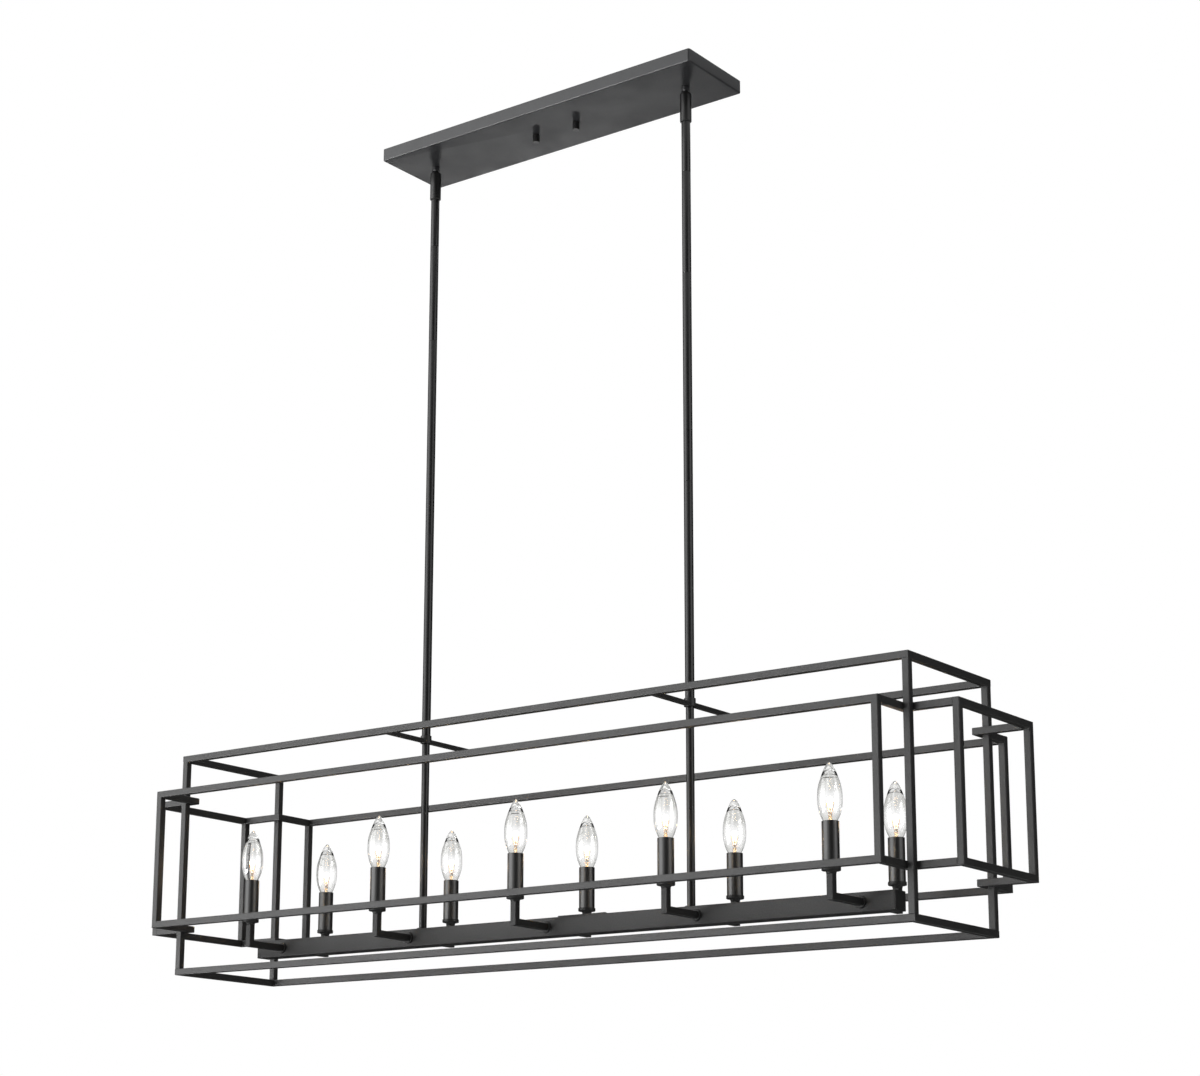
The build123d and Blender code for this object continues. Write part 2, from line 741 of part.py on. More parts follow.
# ---------------------------------------------------------------- candle lamps
def candle_cup(x, y):
    """Small cup on the arm: a coved foot, and a rim with a rounded lower edge round the sleeve."""
    bottom_z = arm_top_z + seam
    top_z = cup_rim_z + cup_rim_height
    with BuildPart() as piece:
        with BuildSketch(axis_plane(x, y)):
            with BuildLine():
                Polyline((lamp_socket_stud_radius + thread_play, cup_floor_z),
                         (lamp_socket_stud_radius + thread_play, bottom_z),
                         (cup_foot_radius, bottom_z))
                RadiusArc((cup_foot_radius, bottom_z), (cup_cove_radius, cup_rim_z), cup_cove_height)
                Line((cup_cove_radius, cup_rim_z), (cup_rim_radius - cup_rim_round, cup_rim_z))
                RadiusArc((cup_rim_radius - cup_rim_round, cup_rim_z),
                          (cup_rim_radius, cup_rim_z + cup_rim_round), -cup_rim_round)
                Polyline((cup_rim_radius, cup_rim_z + cup_rim_round),
                         (cup_rim_radius, top_z),
                         (cup_rim_radius - cup_wall, top_z),
                         (cup_rim_radius - cup_wall, cup_floor_z),
                         (lamp_socket_stud_radius + thread_play, cup_floor_z))
            make_face()
        revolve(axis=upright_axis(x, y))
    return piece.part


def lamp_socket(x, y):
    """Candelabra lamp socket: a round body with a screw bore above and a stud below."""
    bore_radius = bulb_base_radius + lamp_socket_bore_play
    with BuildPart() as piece:
        with BuildSketch(Plane((x, y, cup_floor_z + seam))):
            Circle(lamp_socket_radius)
        extrude(amount=lamp_socket_top_z - cup_floor_z - seam)
        fillet(piece.edges().group_by(Axis.Z)[-1], cup_edge)
        with BuildSketch(Plane((x, y, cup_floor_z + seam))):
            Circle(lamp_socket_stud_radius)
        extrude(amount=arm_top_z - lamp_socket_stud_length - cup_floor_z - seam)
        with BuildSketch(Plane((x, y, lamp_socket_top_z))):
            Circle(bore_radius)
        extrude(amount=lamp_socket_floor_z - lamp_socket_top_z, mode=Mode.SUBTRACT)
        with BuildSketch(Plane((x, y, arm_top_z - lamp_socket_stud_length))):
            Circle(lead_bore_radius)
        extrude(amount=cup_floor_z + lamp_socket_stud_length - arm_top_z, mode=Mode.SUBTRACT)
    return piece.part


def candle_sleeve(x, y):
    """Thin cover tube over the lamp socket."""
    return ring(x, y, sleeve_bottom_z, sleeve_length, sleeve_radius, sleeve_radius - sleeve_wall)


def bulb_outline(x, y, inset):
    """Upright half profile of the glass, drawn in from its outside by inset."""
    neck_z = sleeve_top_z - bulb_neck_drop + inset
    tip_z = sleeve_top_z + bulb_height - inset
    with BuildSketch(axis_plane(x, y)) as outline:
        with BuildLine():
            wall = Spline(
                (bulb_neck_radius - inset, neck_z),
                (bulb_mouth_radius - inset, sleeve_top_z),
                (bulb_belly_radius - inset, sleeve_top_z + bulb_belly_height),
                (bulb_tip_radius, tip_z),
                tangents=(bulb_neck_direction, bulb_tip_direction),
            )
            Polyline(wall @ 1, (0, tip_z), (0, neck_z), wall @ 0)
        make_face()
    return outline.sketch


def make_bulb(name, x, y):
    """Clear candle bulb: hollow glass on a screw base with an end contact."""
    with BuildPart() as bulb:
        add(bulb_outline(x, y, 0))
        revolve(axis=upright_axis(x, y))
        add(bulb_outline(x, y, bulb_glass))
        revolve(axis=upright_axis(x, y), mode=Mode.SUBTRACT)
        with BuildSketch(Plane((x, y, bulb_base_top_z))):
            Circle(bulb_base_radius)
        extrude(amount=-bulb_base_length)
        with BuildSketch(Plane((x, y, bulb_contact_z))):
            Circle(bulb_contact_radius)
        extrude(amount=-bulb_contact_length)
    write(name, bulb)


def make_lamps():
    """Cups, sockets, sleeves and bulbs at every station, front and back."""
    places = [(x, side * lamp_offset_y) for x in station_xs for side in (-1, 1)]
    write("candle_cups", group(candle_cup(x, y) for x, y in places))
    write("lamp_sockets", group(lamp_socket(x, y) for x, y in places))
    write("candle_sleeves", group(candle_sleeve(x, y) for x, y in places))
    for row, side in (("front", -1), ("back", 1)):
        for number, x in enumerate(station_xs, start=1):
            make_bulb(f"bulb_{row}_{number}", x, side * lamp_offset_y)


# ---------------------------------------------------------------- wiring
def make_wiring():
    """Leads in the pan, in the rods and in the beam, and the connectors in the pan."""
    lead_bottom_z = pan_floor_z + socket_washer_thickness
    connector_mouth_x = connector_x + connector_length
    canopy_leads = []
    for end in (-1, 1):
        route = [
            (end * rod_offset_x, 0, lead_bottom_z),
            (end * rod_offset_x, 0, -canopy_lead_depth),
            (end * (rod_offset_x - canopy_lead_run), canopy_lead_side, -connector_depth),
            (end * (connector_mouth_x - connector_length / 2), canopy_lead_side, -connector_depth),
        ]
        canopy_leads.append(lead(route, widest_arcs(route)))
    write("canopy_leads", group(canopy_leads))

    with BuildPart() as wire_connectors:
        for end in (-1, 1):
            mouth = (end * connector_mouth_x, canopy_lead_side, -connector_depth)
            plane = Plane(mouth, x_dir=(0, 1, 0), z_dir=(-end, 0, 0))
            with BuildSketch(plane):
                Circle(connector_radius)
            with BuildSketch(plane.offset(connector_length)):
                Circle(connector_tip_radius)
            loft()
            with BuildSketch(plane):
                Circle(lead_radius + thread_play)
            extrude(amount=connector_length / 2 + seam, mode=Mode.SUBTRACT)
    write("wire_connectors", wire_connectors)

    with BuildPart() as stem_leads:
        with BuildSketch(Plane((0, 0, beam_middle_z + trunk_lead_radius + seam))):
            with Locations(*[(x, 0) for x in rod_xs]):
                Circle(lead_radius)
        extrude(amount=coupler_top_z - beam_middle_z)
    write("stem_leads", stem_leads)

    trunk_length = station_pitch * (station_count - 1) + 2 * flange_radius
    inner_corner = (tube / 2 - tube_wall) * sqrt(2)
    elbow_radius = (inner_corner - lead_radius - lead_elbow_play) / (sqrt(2) - 1)
    branches = []
    for x in station_xs:
        for side in (-1, 1):
            route = [
                (x, side * (trunk_lead_radius + seam), beam_middle_z),
                (x, side * lamp_offset_y, beam_middle_z),
                (x, side * lamp_offset_y, arm_top_z),
            ]
            branches.append(lead(route, elbow_radius))
    with BuildPart() as trunk:
        with BuildSketch(Plane((-trunk_length / 2, 0, beam_middle_z), x_dir=(0, 1, 0), z_dir=(1, 0, 0))):
            Circle(trunk_lead_radius)
        extrude(amount=trunk_length)
    write("beam_leads", group([trunk.part, *branches]))


make_pan()
make_mounting_plate()
make_plate_fasteners()
make_knurled_nut("canopy_nut_left", stud_xs[0])
make_knurled_nut("canopy_nut_right", stud_xs[1])
for side_name, rod_x in zip(("left", "right"), rod_xs):
    make_swivel_socket(f"swivel_socket_{side_name}", rod_x)
    make_swivel_ball(f"swivel_ball_{side_name}", rod_x)
    make_coupler(f"coupler_{side_name}", rod_x)
make_socket_fasteners()
make_rods()
make_stems()
make_box()
make_ring()
make_crossbars()
make_beam()
make_arms()
make_lamps()
make_wiring()
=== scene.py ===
"""Looks of the linear island pendant: black powder coat on every tube, turned cups and sleeves, knurled
nuts, and ten clear candle bulbs with their glowing filaments. Metres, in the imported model's frame."""

import json
import math

import bmesh
import bpy
from mathutils import Matrix, Vector
from mathutils.geometry import interpolate_bezier

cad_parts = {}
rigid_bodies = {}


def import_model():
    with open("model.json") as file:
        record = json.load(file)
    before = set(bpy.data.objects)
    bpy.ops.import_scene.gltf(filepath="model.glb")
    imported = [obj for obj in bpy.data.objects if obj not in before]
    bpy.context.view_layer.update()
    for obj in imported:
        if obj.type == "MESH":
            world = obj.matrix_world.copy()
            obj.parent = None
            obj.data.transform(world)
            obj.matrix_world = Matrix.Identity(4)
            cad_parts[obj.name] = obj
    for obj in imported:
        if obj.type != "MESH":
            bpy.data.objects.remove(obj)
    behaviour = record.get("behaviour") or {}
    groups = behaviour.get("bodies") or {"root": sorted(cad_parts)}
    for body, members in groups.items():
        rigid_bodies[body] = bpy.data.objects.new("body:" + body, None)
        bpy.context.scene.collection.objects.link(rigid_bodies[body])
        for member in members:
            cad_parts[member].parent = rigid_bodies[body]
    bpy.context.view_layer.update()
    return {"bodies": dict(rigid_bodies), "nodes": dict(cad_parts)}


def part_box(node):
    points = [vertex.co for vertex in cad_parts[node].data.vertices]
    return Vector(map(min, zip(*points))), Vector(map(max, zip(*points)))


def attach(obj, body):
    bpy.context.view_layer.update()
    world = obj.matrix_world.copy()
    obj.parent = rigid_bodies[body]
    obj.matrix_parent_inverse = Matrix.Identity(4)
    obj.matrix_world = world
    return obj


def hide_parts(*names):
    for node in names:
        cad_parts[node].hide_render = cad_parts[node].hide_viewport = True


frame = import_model()

MM = 0.001

# ---------------------------------------------------------------- sizes of the pieces made here
ROD_RADIUS = 6.35 * MM
STEM_RADIUS = 5.55 * MM
ROD_END_ROUND = 0.55 * MM

CUP_FOOT_RADIUS = 6.4 * MM
CUP_COVE_RADIUS = 8.4 * MM
CUP_COVE_HEIGHT = 3.3 * MM
CUP_RIM_RADIUS = 12.1 * MM
CUP_RIM_ROUND = 1.0 * MM
CUP_EDGE_ROUND = 0.3 * MM
CUP_WALL = 0.8 * MM
CUP_FLOOR = 1.6 * MM

SLEEVE_RADIUS = 11.0 * MM
SLEEVE_WALL = 0.8 * MM
SLEEVE_RIM_ROUND = 0.35 * MM

STATION_COUNT = 5
STATION_PITCH = 247.5 * MM
ROW_OFFSET = 82.0 * MM

PAN_FOLD_RADIUS = 1.8 * MM
NUT_RADIUS = 5.2 * MM
NUT_EDGE = 0.7 * MM
KNURL_COUNT = 30
KNURL_HEIGHT = 0.42 * MM

BOSS_RADIUS = 8.0 * MM
WELD_BEAD_RADIUS = 1.15 * MM

# Outside of the bulb: height above the sleeve's mouth, and half width
BULB_OUTLINE = (
    (-7.0, 6.4), (-4.0, 7.2), (0.0, 8.9), (5.5, 11.55), (12.0, 13.75), (20.0, 15.3), (29.0, 15.75),
    (38.0, 15.35), (44.0, 14.4), (50.2, 12.7), (55.0, 11.1), (59.7, 9.45), (63.6, 8.0), (67.6, 6.15),
    (70.4, 4.5), (72.5, 2.9), (73.9, 1.45), (74.4, 0.6),
)
BULB_WALL = 0.7 * MM
BULB_SOLID_TIP = 9.4 * MM
BULB_DOME_HEIGHT = 10.0 * MM
FILAMENT_HEIGHT = 27.0 * MM
FILAMENT_SPAN = 10.0 * MM
FILAMENT_TURNS = 26
POINTS_PER_TURN = 10
BULB_BASE_TOP = -7.1 * MM
BULB_BASE_RADIUS = 5.75 * MM
BULB_THREAD_PITCH = 2.54 * MM
BULB_THREAD_DEPTH = 0.2 * MM

# ---------------------------------------------------------------- places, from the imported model
SLEEVE_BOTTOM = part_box("candle_sleeves")[0].z
SLEEVE_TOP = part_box("candle_sleeves")[1].z
CUP_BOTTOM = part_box("candle_cups")[0].z
CUP_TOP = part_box("candle_cups")[1].z
CROSSBAR_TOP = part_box("crossbar_left")[1].z
CROSSBAR_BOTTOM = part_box("crossbar_left")[0].z
ROD_X = (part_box("lower_stem_right")[0].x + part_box("lower_stem_right")[1].x) / 2
ROD_TOPS = [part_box("rods_short")[1].z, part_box("rods_medium")[1].z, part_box("rods_long")[1].z]
LONG_ROD_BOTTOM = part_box("rods_long")[0].z
STEM_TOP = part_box("lower_stem_left")[1].z
STEM_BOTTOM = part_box("lower_stem_left")[0].z


# ---------------------------------------------------------------- materials
def shader_node(material, kind, **settings):
    """A node of the material, with its sockets or properties set by name."""
    node = material.node_tree.nodes.new(kind)
    for name, value in settings.items():
        if name in node.inputs:
            node.inputs[name].default_value = value
        else:
            setattr(node, name, value)
    return node


def join(material, start, end):
    material.node_tree.links.new(start, end)


def bare_material(name):
    """A material with one Principled shader, and its node."""
    material = bpy.data.materials.new(name)
    material.use_nodes = True
    return material, material.node_tree.nodes["Principled BSDF"]


def mottle(material, scale, detail, low, high, stretch=None):
    """A noise over the object, in metres, spread between two values."""
    place = shader_node(material, "ShaderNodeTexCoord").outputs["Object"]
    if stretch:
        mapping = shader_node(material, "ShaderNodeMapping", Scale=stretch)
        join(material, place, mapping.inputs["Vector"])
        place = mapping.outputs["Vector"]
    noise = shader_node(material, "ShaderNodeTexNoise", Scale=scale, Detail=detail)
    join(material, place, noise.inputs["Vector"])
    spread = shader_node(material, "ShaderNodeMapRange", **{"From Min": 0.3, "From Max": 0.7,
                                                            "To Min": low, "To Max": high})
    join(material, noise.outputs["Fac"], spread.inputs["Value"])
    return spread.outputs["Result"]


def two_tone(material, value, dark, light):
    """A colour between dark and light, by a value from 0 to 1."""
    mix = shader_node(material, "ShaderNodeMix", data_type="RGBA")
    for socket in mix.inputs:
        if socket.name in ("A", "B") and socket.type == "RGBA":
            socket.default_value = (*(dark if socket.name == "A" else light), 1)
    join(material, value, mix.inputs["Factor"])
    return next(socket for socket in mix.outputs if socket.type == "RGBA")


def raised(material, value, shader, strength, depth):
    """Lets a value raise the surface."""
    bump = shader_node(material, "ShaderNodeBump", Strength=strength, Distance=depth)
    join(material, value, bump.inputs["Height"])
    join(material, bump.outputs["Normal"], shader.inputs["Normal"])
    return bump


def powder_coat(name, dark, light, gloss_low, gloss_high, level, edge=0.0, grain=0.6 * MM, depth=0.03 * MM):
    """Baked black powder coat: fine orange peel, slow drifts in tone and gloss, and softened edges."""
    material, shader = bare_material(name)
    tone = mottle(material, 1 / (3 * grain), 3.0, 0.0, 1.0)
    join(material, two_tone(material, tone, dark, light), shader.inputs["Base Color"])
    join(material, mottle(material, 22.0, 2.0, gloss_low, gloss_high), shader.inputs["Roughness"])
    peel = raised(material, mottle(material, 1 / grain, 2.0, 0.0, 1.0), shader, 0.35, depth)
    if edge:
        round_off = shader_node(material, "ShaderNodeBevel", samples=6, Radius=edge)
        join(material, round_off.outputs["Normal"], peel.inputs["Normal"])
    shader.inputs["Specular IOR Level"].default_value = level
    return material


def plated_steel(name, dark, light, roughness):
    """Bright zinc plating with faint drawing lines."""
    material, shader = bare_material(name)
    tone = mottle(material, 260.0, 4.0, 0.0, 1.0)
    join(material, two_tone(material, tone, dark, light), shader.inputs["Base Color"])
    join(material, mottle(material, 700.0, 3.0, roughness - 0.07, roughness + 0.07),
         shader.inputs["Roughness"])
    raised(material, mottle(material, 900.0, 2.0, 0.0, 1.0, (1, 1, 6)), shader, 0.2, 0.02 * MM)
    shader.inputs["Metallic"].default_value = 1.0
    return material


def moulded(name, dark, light, roughness):
    """Moulded plastic or insulation with a slight matt grain."""
    material, shader = bare_material(name)
    tone = mottle(material, 300.0, 3.0, 0.0, 1.0)
    join(material, two_tone(material, tone, dark, light), shader.inputs["Base Color"])
    join(material, mottle(material, 120.0, 2.0, roughness - 0.05, roughness + 0.08),
         shader.inputs["Roughness"])
    raised(material, mottle(material, 1500.0, 2.0, 0.0, 1.0), shader, 0.25, 0.02 * MM)
    return material


def clear_glass(name, tint):
    """Plain clear glass."""
    material, shader = bare_material(name)
    shader.inputs["Base Color"].default_value = (*tint, 1)
    shader.inputs["Transmission Weight"].default_value = 1.0
    shader.inputs["Roughness"].default_value = 0.0
    shader.inputs["IOR"].default_value = 1.5
    rays = shader_node(material, "ShaderNodeLightPath")
    passing = shader_node(material, "ShaderNodeBsdfTransparent")
    blend = shader_node(material, "ShaderNodeMixShader")
    join(material, rays.outputs["Is Shadow Ray"], blend.inputs[0])
    join(material, shader.outputs[0], blend.inputs[1])
    join(material, passing.outputs[0], blend.inputs[2])
    join(material, blend.outputs[0], material.node_tree.nodes["Material Output"].inputs["Surface"])
    return material, shader


def reckon(material, operation, *terms):
    """A math node over sockets and numbers, kept between 0 and 1; returns its result."""
    node = shader_node(material, "ShaderNodeMath", operation=operation, use_clamp=True)
    for index, term in enumerate(terms):
        if isinstance(term, (int, float)):
            node.inputs[index].default_value = term
        else:
            join(material, term, node.inputs[index])
    return node.outputs[0]


def glass_with_painted_shade(name):
    """The envelope: clear glass with painted shade in its colour. It is darker towards its edges and low
    down, has painted reflection stripes near the top, and has a clear band round the filament that stands in
    for its glow.
    """
    material, shader = clear_glass(name, (1.0, 1.0, 1.0))
    # Painted reflection: the stripe wave set on the glass in bulb_envelope darkens stripes near the top of
    # the glass.
    painted_reflection_stripes = shader_node(material, "ShaderNodeAttribute", attribute_name="painted_stripe_wave").outputs["Fac"]
    place = shader_node(material, "ShaderNodeTexCoord").outputs["Object"]
    split = shader_node(material, "ShaderNodeSeparateXYZ")
    join(material, place, split.inputs[0])
    painted_height_shade = []
    # Painted shade by height: darker with the stripes from 33 to 45 mm above the mouth, and darker below 17
    # mm. The clear band between stands in for the filament's glow.
    for start, end, amount in ((33, 45, 1.0), (17, 5, 0.5)):
        band = shader_node(material, "ShaderNodeMapRange", **{
            "From Min": SLEEVE_TOP + start * MM, "From Max": SLEEVE_TOP + end * MM, "To Max": amount})
        join(material, split.outputs["Z"], band.inputs["Value"])
        painted_height_shade.append(band.outputs["Result"])
    painted_stripe_shade = reckon(material, "MULTIPLY", painted_height_shade[0], reckon(material, "MULTIPLY_ADD", painted_reflection_stripes, 0.9, 0.15))
    body = reckon(material, "MAXIMUM", painted_stripe_shade, painted_height_shade[1])
    # Painted shade at the edges: the glass darkens where it is seen edge on.
    facing = shader_node(material, "ShaderNodeLayerWeight", Blend=0.5).outputs["Facing"]
    edge = reckon(material, "POWER", facing, 1.4)
    # All the painted shade together takes the glass colour from white towards a dark tint.
    painted_glass_shade = reckon(material, "ADD", body, edge)
    tint = two_tone(material, painted_glass_shade, (1.0, 1.0, 1.0), (0.74, 0.74, 0.725))
    join(material, tint, shader.inputs["Base Color"])
    return material


def glowing(name, colour, strength):
    """Its own light, a little uneven along the wire: hot tungsten on the filament, and on the glass beads a
    painted glow that stands in for the filament's light in them.
    """
    material, shader = bare_material(name)
    join(material, two_tone(material, mottle(material, 900.0, 1.0, 0.0, 1.0), colour, (1.0, 0.86, 0.6)),
         shader.inputs["Emission Color"])
    shader.inputs["Base Color"].default_value = (0.3, 0.25, 0.2, 1)
    shader.inputs["Roughness"].default_value = 0.5
    shader.inputs["Emission Strength"].default_value = strength
    return material


CANOPY_COAT = powder_coat("canopy_powder_coat", (0.019, 0.020, 0.022), (0.027, 0.028, 0.031),
                          0.36, 0.43, 0.50, edge=1.6 * MM)
ROD_COAT = powder_coat("rod_powder_coat", (0.010, 0.010, 0.010), (0.017, 0.017, 0.017), 0.26, 0.32, 0.42)
FRAME_COAT = powder_coat("frame_powder_coat", (0.011, 0.011, 0.011), (0.020, 0.020, 0.020),
                         0.42, 0.50, 0.43, edge=0.45 * MM)
BEAM_COAT = powder_coat("beam_powder_coat", (0.011, 0.011, 0.011), (0.019, 0.019, 0.019),
                        0.42, 0.50, 0.28, edge=0.8 * MM)
SLEEVE_COAT = powder_coat("sleeve_satin_coat", (0.014, 0.014, 0.014), (0.021, 0.021, 0.021), 0.28, 0.34, 0.80)
ZINC = plated_steel("zinc_plated_steel", (0.52, 0.53, 0.54), (0.66, 0.66, 0.65), 0.32)
LAMP_SOCKET = moulded("lamp_socket_phenolic", (0.010, 0.009, 0.009), (0.020, 0.018, 0.017), 0.42)
WIRE_BLACK = moulded("lead_insulation", (0.012, 0.012, 0.012), (0.024, 0.024, 0.024), 0.45)
CONNECTOR = moulded("wire_connector_plastic", (0.62, 0.16, 0.02), (0.70, 0.21, 0.03), 0.38)
BULB_GLASS_WITH_PAINTED_SHADE = glass_with_painted_shade("bulb_glass_with_painted_shade")
STEM_GLASS = clear_glass("bulb_stem_glass", (1.0, 0.96, 0.86))[0]
SUPPORT_WIRE = plated_steel("bulb_lead_wire", (0.42, 0.20, 0.08), (0.62, 0.34, 0.14), 0.35)
# Painted glow: the support beads are no lamp, and their emission stands in for the filament's light in the
# amber glass.
BEAD_PAINTED_GLOW = glowing("bulb_bead_painted_glow", (0.85, 0.42, 0.08), 0.75)
SCREW_SHELL = plated_steel("bulb_screw_shell", (0.72, 0.62, 0.42), (0.84, 0.74, 0.54), 0.28)
BASE_GLASS = moulded("bulb_base_insulator", (0.012, 0.012, 0.014), (0.02, 0.02, 0.024), 0.2)
FILAMENT = glowing("bulb_filament", (1.0, 0.62, 0.30), 28.0)

NODE_FINISH = {
    CANOPY_COAT: ("canopy_pan", "swivel_socket_left", "swivel_socket_right"),
    ROD_COAT: ("swivel_ball_left", "swivel_ball_right", "coupler_left", "coupler_right", "stem_flanges"),
    FRAME_COAT: ("box_long_rails", "box_end_rails", "box_posts", "ring_front_frame", "ring_back_frame",
                 "ring_left_frame", "ring_right_frame", "ring_returns", "crossbar_left", "crossbar_right",
                 "crossbar_bosses"),
    BEAM_COAT: ("beam_tube", "beam_end_caps", "beam_cover_plate", "light_arms_front", "light_arms_back",
                "arm_flanges", "cover_screws"),
    ZINC: ("mounting_plate", "plate_studs", "stud_lock_nuts", "ground_screw", "socket_washers",
           "socket_lock_nuts", "rod_nipples", "stem_nuts", "arm_nuts"),
    LAMP_SOCKET: ("lamp_sockets",),
    WIRE_BLACK: ("canopy_leads", "stem_leads", "beam_leads"),
    CONNECTOR: ("wire_connectors",),
}


def dress_nodes():
    """Gives every carried-over node its material."""
    for material, nodes in NODE_FINISH.items():
        for name in nodes:
            mesh = frame["nodes"][name].data
            mesh.materials.clear()
            mesh.materials.append(material)


# ---------------------------------------------------------------- mesh helpers
def rounded_corner(centre, radius, start, steps=4, sweep=90):
    """Arc in (radius, height), from a start angle in degrees, turning anticlockwise."""
    return [(centre[0] + radius * math.cos(math.radians(start + sweep * step / steps)),
             centre[1] + radius * math.sin(math.radians(start + sweep * step / steps)))
            for step in range(steps + 1)]


def turn(bm, profile, place=(0.0, 0.0), segments=64, closed=False, slot=0):
    """Turns a profile of (radius, height) points about an upright line; poles are closed."""
    rings = []
    for radius, height in profile:
        if radius < 1e-7:
            rings.append([bm.verts.new((place[0], place[1], height))])
            continue
        rings.append([
            bm.verts.new((place[0] + radius * math.cos(2 * math.pi * step / segments),
                          place[1] + radius * math.sin(2 * math.pi * step / segments), height))
            for step in range(segments)])
    pairs = list(zip(rings, rings[1:]))
    if closed:
        pairs.append((rings[-1], rings[0]))
    for low, high in pairs:
        for step in range(segments):
            after = (step + 1) % segments
            corners = [low[step % len(low)], low[after % len(low)], high[after % len(high)],
                       high[step % len(high)]]
            corners = list(dict.fromkeys(corners))
            if len(corners) > 2:
                bm.faces.new(corners).material_index = slot


def piece_from(bm, name, materials, sharp=32.0, outward=True):
    """An object from a bmesh, smooth except at edges sharper than an angle."""
    if outward:
        bmesh.ops.recalc_face_normals(bm, faces=bm.faces)
    mesh = bpy.data.meshes.new(name)
    bm.to_mesh(mesh)
    bm.free()
    for material in materials:
        mesh.materials.append(material)
    mesh.shade_smooth()
    mesh.set_sharp_from_angle(angle=math.radians(sharp))
    piece = bpy.data.objects.new(name, mesh)
    bpy.context.scene.collection.objects.link(piece)
    return piece


def seat(piece, body, slot, *nodes):
    """Sets a finished piece on the body that it rides and hides the nodes that it replaces; slot is not used.
    """
    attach(piece, body)
    if nodes:
        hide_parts(*nodes)
    return piece


# ---------------------------------------------------------------- geometry node trees
def start_tree(name, inputs):
    """A tree with a blank geometry, named inputs and a finish; returns it and its input node."""
    tree = bpy.data.node_groups.new(name, "GeometryNodeTree")
    tree.interface.new_socket(name="Blank", in_out="INPUT", socket_type="NodeSocketGeometry")
    for label, kind in inputs:
        tree.interface.new_socket(name=label, in_out="INPUT", socket_type=kind)
    tree.interface.new_socket(name="Finish", in_out="INPUT", socket_type="NodeSocketMaterial")
    tree.interface.new_socket(name="Piece", in_out="OUTPUT", socket_type="NodeSocketGeometry")
    return tree, tree.nodes.new("NodeGroupInput").outputs


def step_node(tree, kind, links=None, **settings):
    """A node of a tree: settings are properties or socket values, links are sockets to join."""
    node = tree.nodes.new(kind)
    for name, value in settings.items():
        if name in node.inputs:
            node.inputs[name].default_value = value
        else:
            setattr(node, name, value)
    for name, source in (links or {}).items():
        tree.links.new(source, node.inputs[name])
    return node


def sum_up(tree, operation, *terms):
    """A math node over sockets and numbers; returns its result."""
    node = tree.nodes.new("ShaderNodeMath")
    node.operation = operation
    for index, term in enumerate(terms):
        if isinstance(term, (int, float)):
            node.inputs[index].default_value = term
        else:
            tree.links.new(term, node.inputs[index])
    return node.outputs[0]


def point_at(tree, x=0.0, y=0.0, z=0.0):
    """A vector from three sockets or numbers."""
    node = tree.nodes.new("ShaderNodeCombineXYZ")
    for index, term in enumerate((x, y, z)):
        if isinstance(term, (int, float)):
            node.inputs[index].default_value = term
        else:
            tree.links.new(term, node.inputs[index])
    return node.outputs[0]


def end_tree(tree, geometry, finish):
    """Closes a tree with Realize Instances and Set Material."""
    real = step_node(tree, "GeometryNodeRealizeInstances", {"Geometry": geometry})
    painted = step_node(tree, "GeometryNodeSetMaterial",
                        {"Geometry": real.outputs["Geometry"], "Material": finish})
    out = tree.nodes.new("NodeGroupOutput")
    tree.links.new(painted.outputs["Geometry"], out.inputs["Piece"])
    return tree


def grow(tree, name, blank, values, material, sharp=32.0):
    """Runs a tree on a blank mesh and keeps the result as a plain mesh object."""
    worker = bpy.data.objects.new(name + "_blank", blank)
    bpy.context.scene.collection.objects.link(worker)
    modifier = worker.modifiers.new(name, "NODES")
    modifier.node_group = tree
    for item in tree.interface.items_tree:
        if item.in_out == "INPUT" and item.name in values:
            modifier[item.identifier] = values[item.name]
        if item.in_out == "INPUT" and item.name == "Finish":
            modifier[item.identifier] = material
    ready = worker.evaluated_get(bpy.context.evaluated_depsgraph_get())
    mesh = bpy.data.meshes.new_from_object(ready)
    mesh.name = name
    bpy.data.objects.remove(worker)
    mesh.shade_smooth()
    mesh.set_sharp_from_angle(angle=math.radians(sharp))
    piece = bpy.data.objects.new(name, mesh)
    bpy.context.scene.collection.objects.link(piece)
    return piece


def blank_mesh(bm, name):
    """A plain mesh for a tree to work on."""
    bmesh.ops.recalc_face_normals(bm, faces=bm.faces)
    mesh = bpy.data.meshes.new(name)
    bm.to_mesh(mesh)
    bm.free()
    return mesh


def lamp_row_tree():
    """Sets one turned piece at every lamp station, in the front row and in the back row."""
    tree, given = start_tree("lamp_rows", (("Station Count", "NodeSocketInt"),
                                           ("Station Pitch", "NodeSocketFloat"),
                                           ("Row Offset", "NodeSocketFloat")))
    gaps = sum_up(tree, "SUBTRACT", given["Station Count"], 1.0)
    half_run = sum_up(tree, "MULTIPLY", sum_up(tree, "MULTIPLY", gaps, given["Station Pitch"]), -0.5)
    rows = tree.nodes.new("GeometryNodeJoinGeometry")
    for side in (1.0, -1.0):
        y = sum_up(tree, "MULTIPLY", given["Row Offset"], side)
        line = step_node(tree, "GeometryNodeMeshLine", {
            "Count": given["Station Count"],
            "Start Location": point_at(tree, half_run, y),
            "Offset": point_at(tree, given["Station Pitch"]),
        })
        tree.links.new(line.outputs["Mesh"], rows.inputs["Geometry"])
    placed = step_node(tree, "GeometryNodeInstanceOnPoints",
                       {"Points": rows.outputs["Geometry"], "Instance": given["Blank"]})
    return end_tree(tree, placed.outputs["Instances"], given["Finish"])


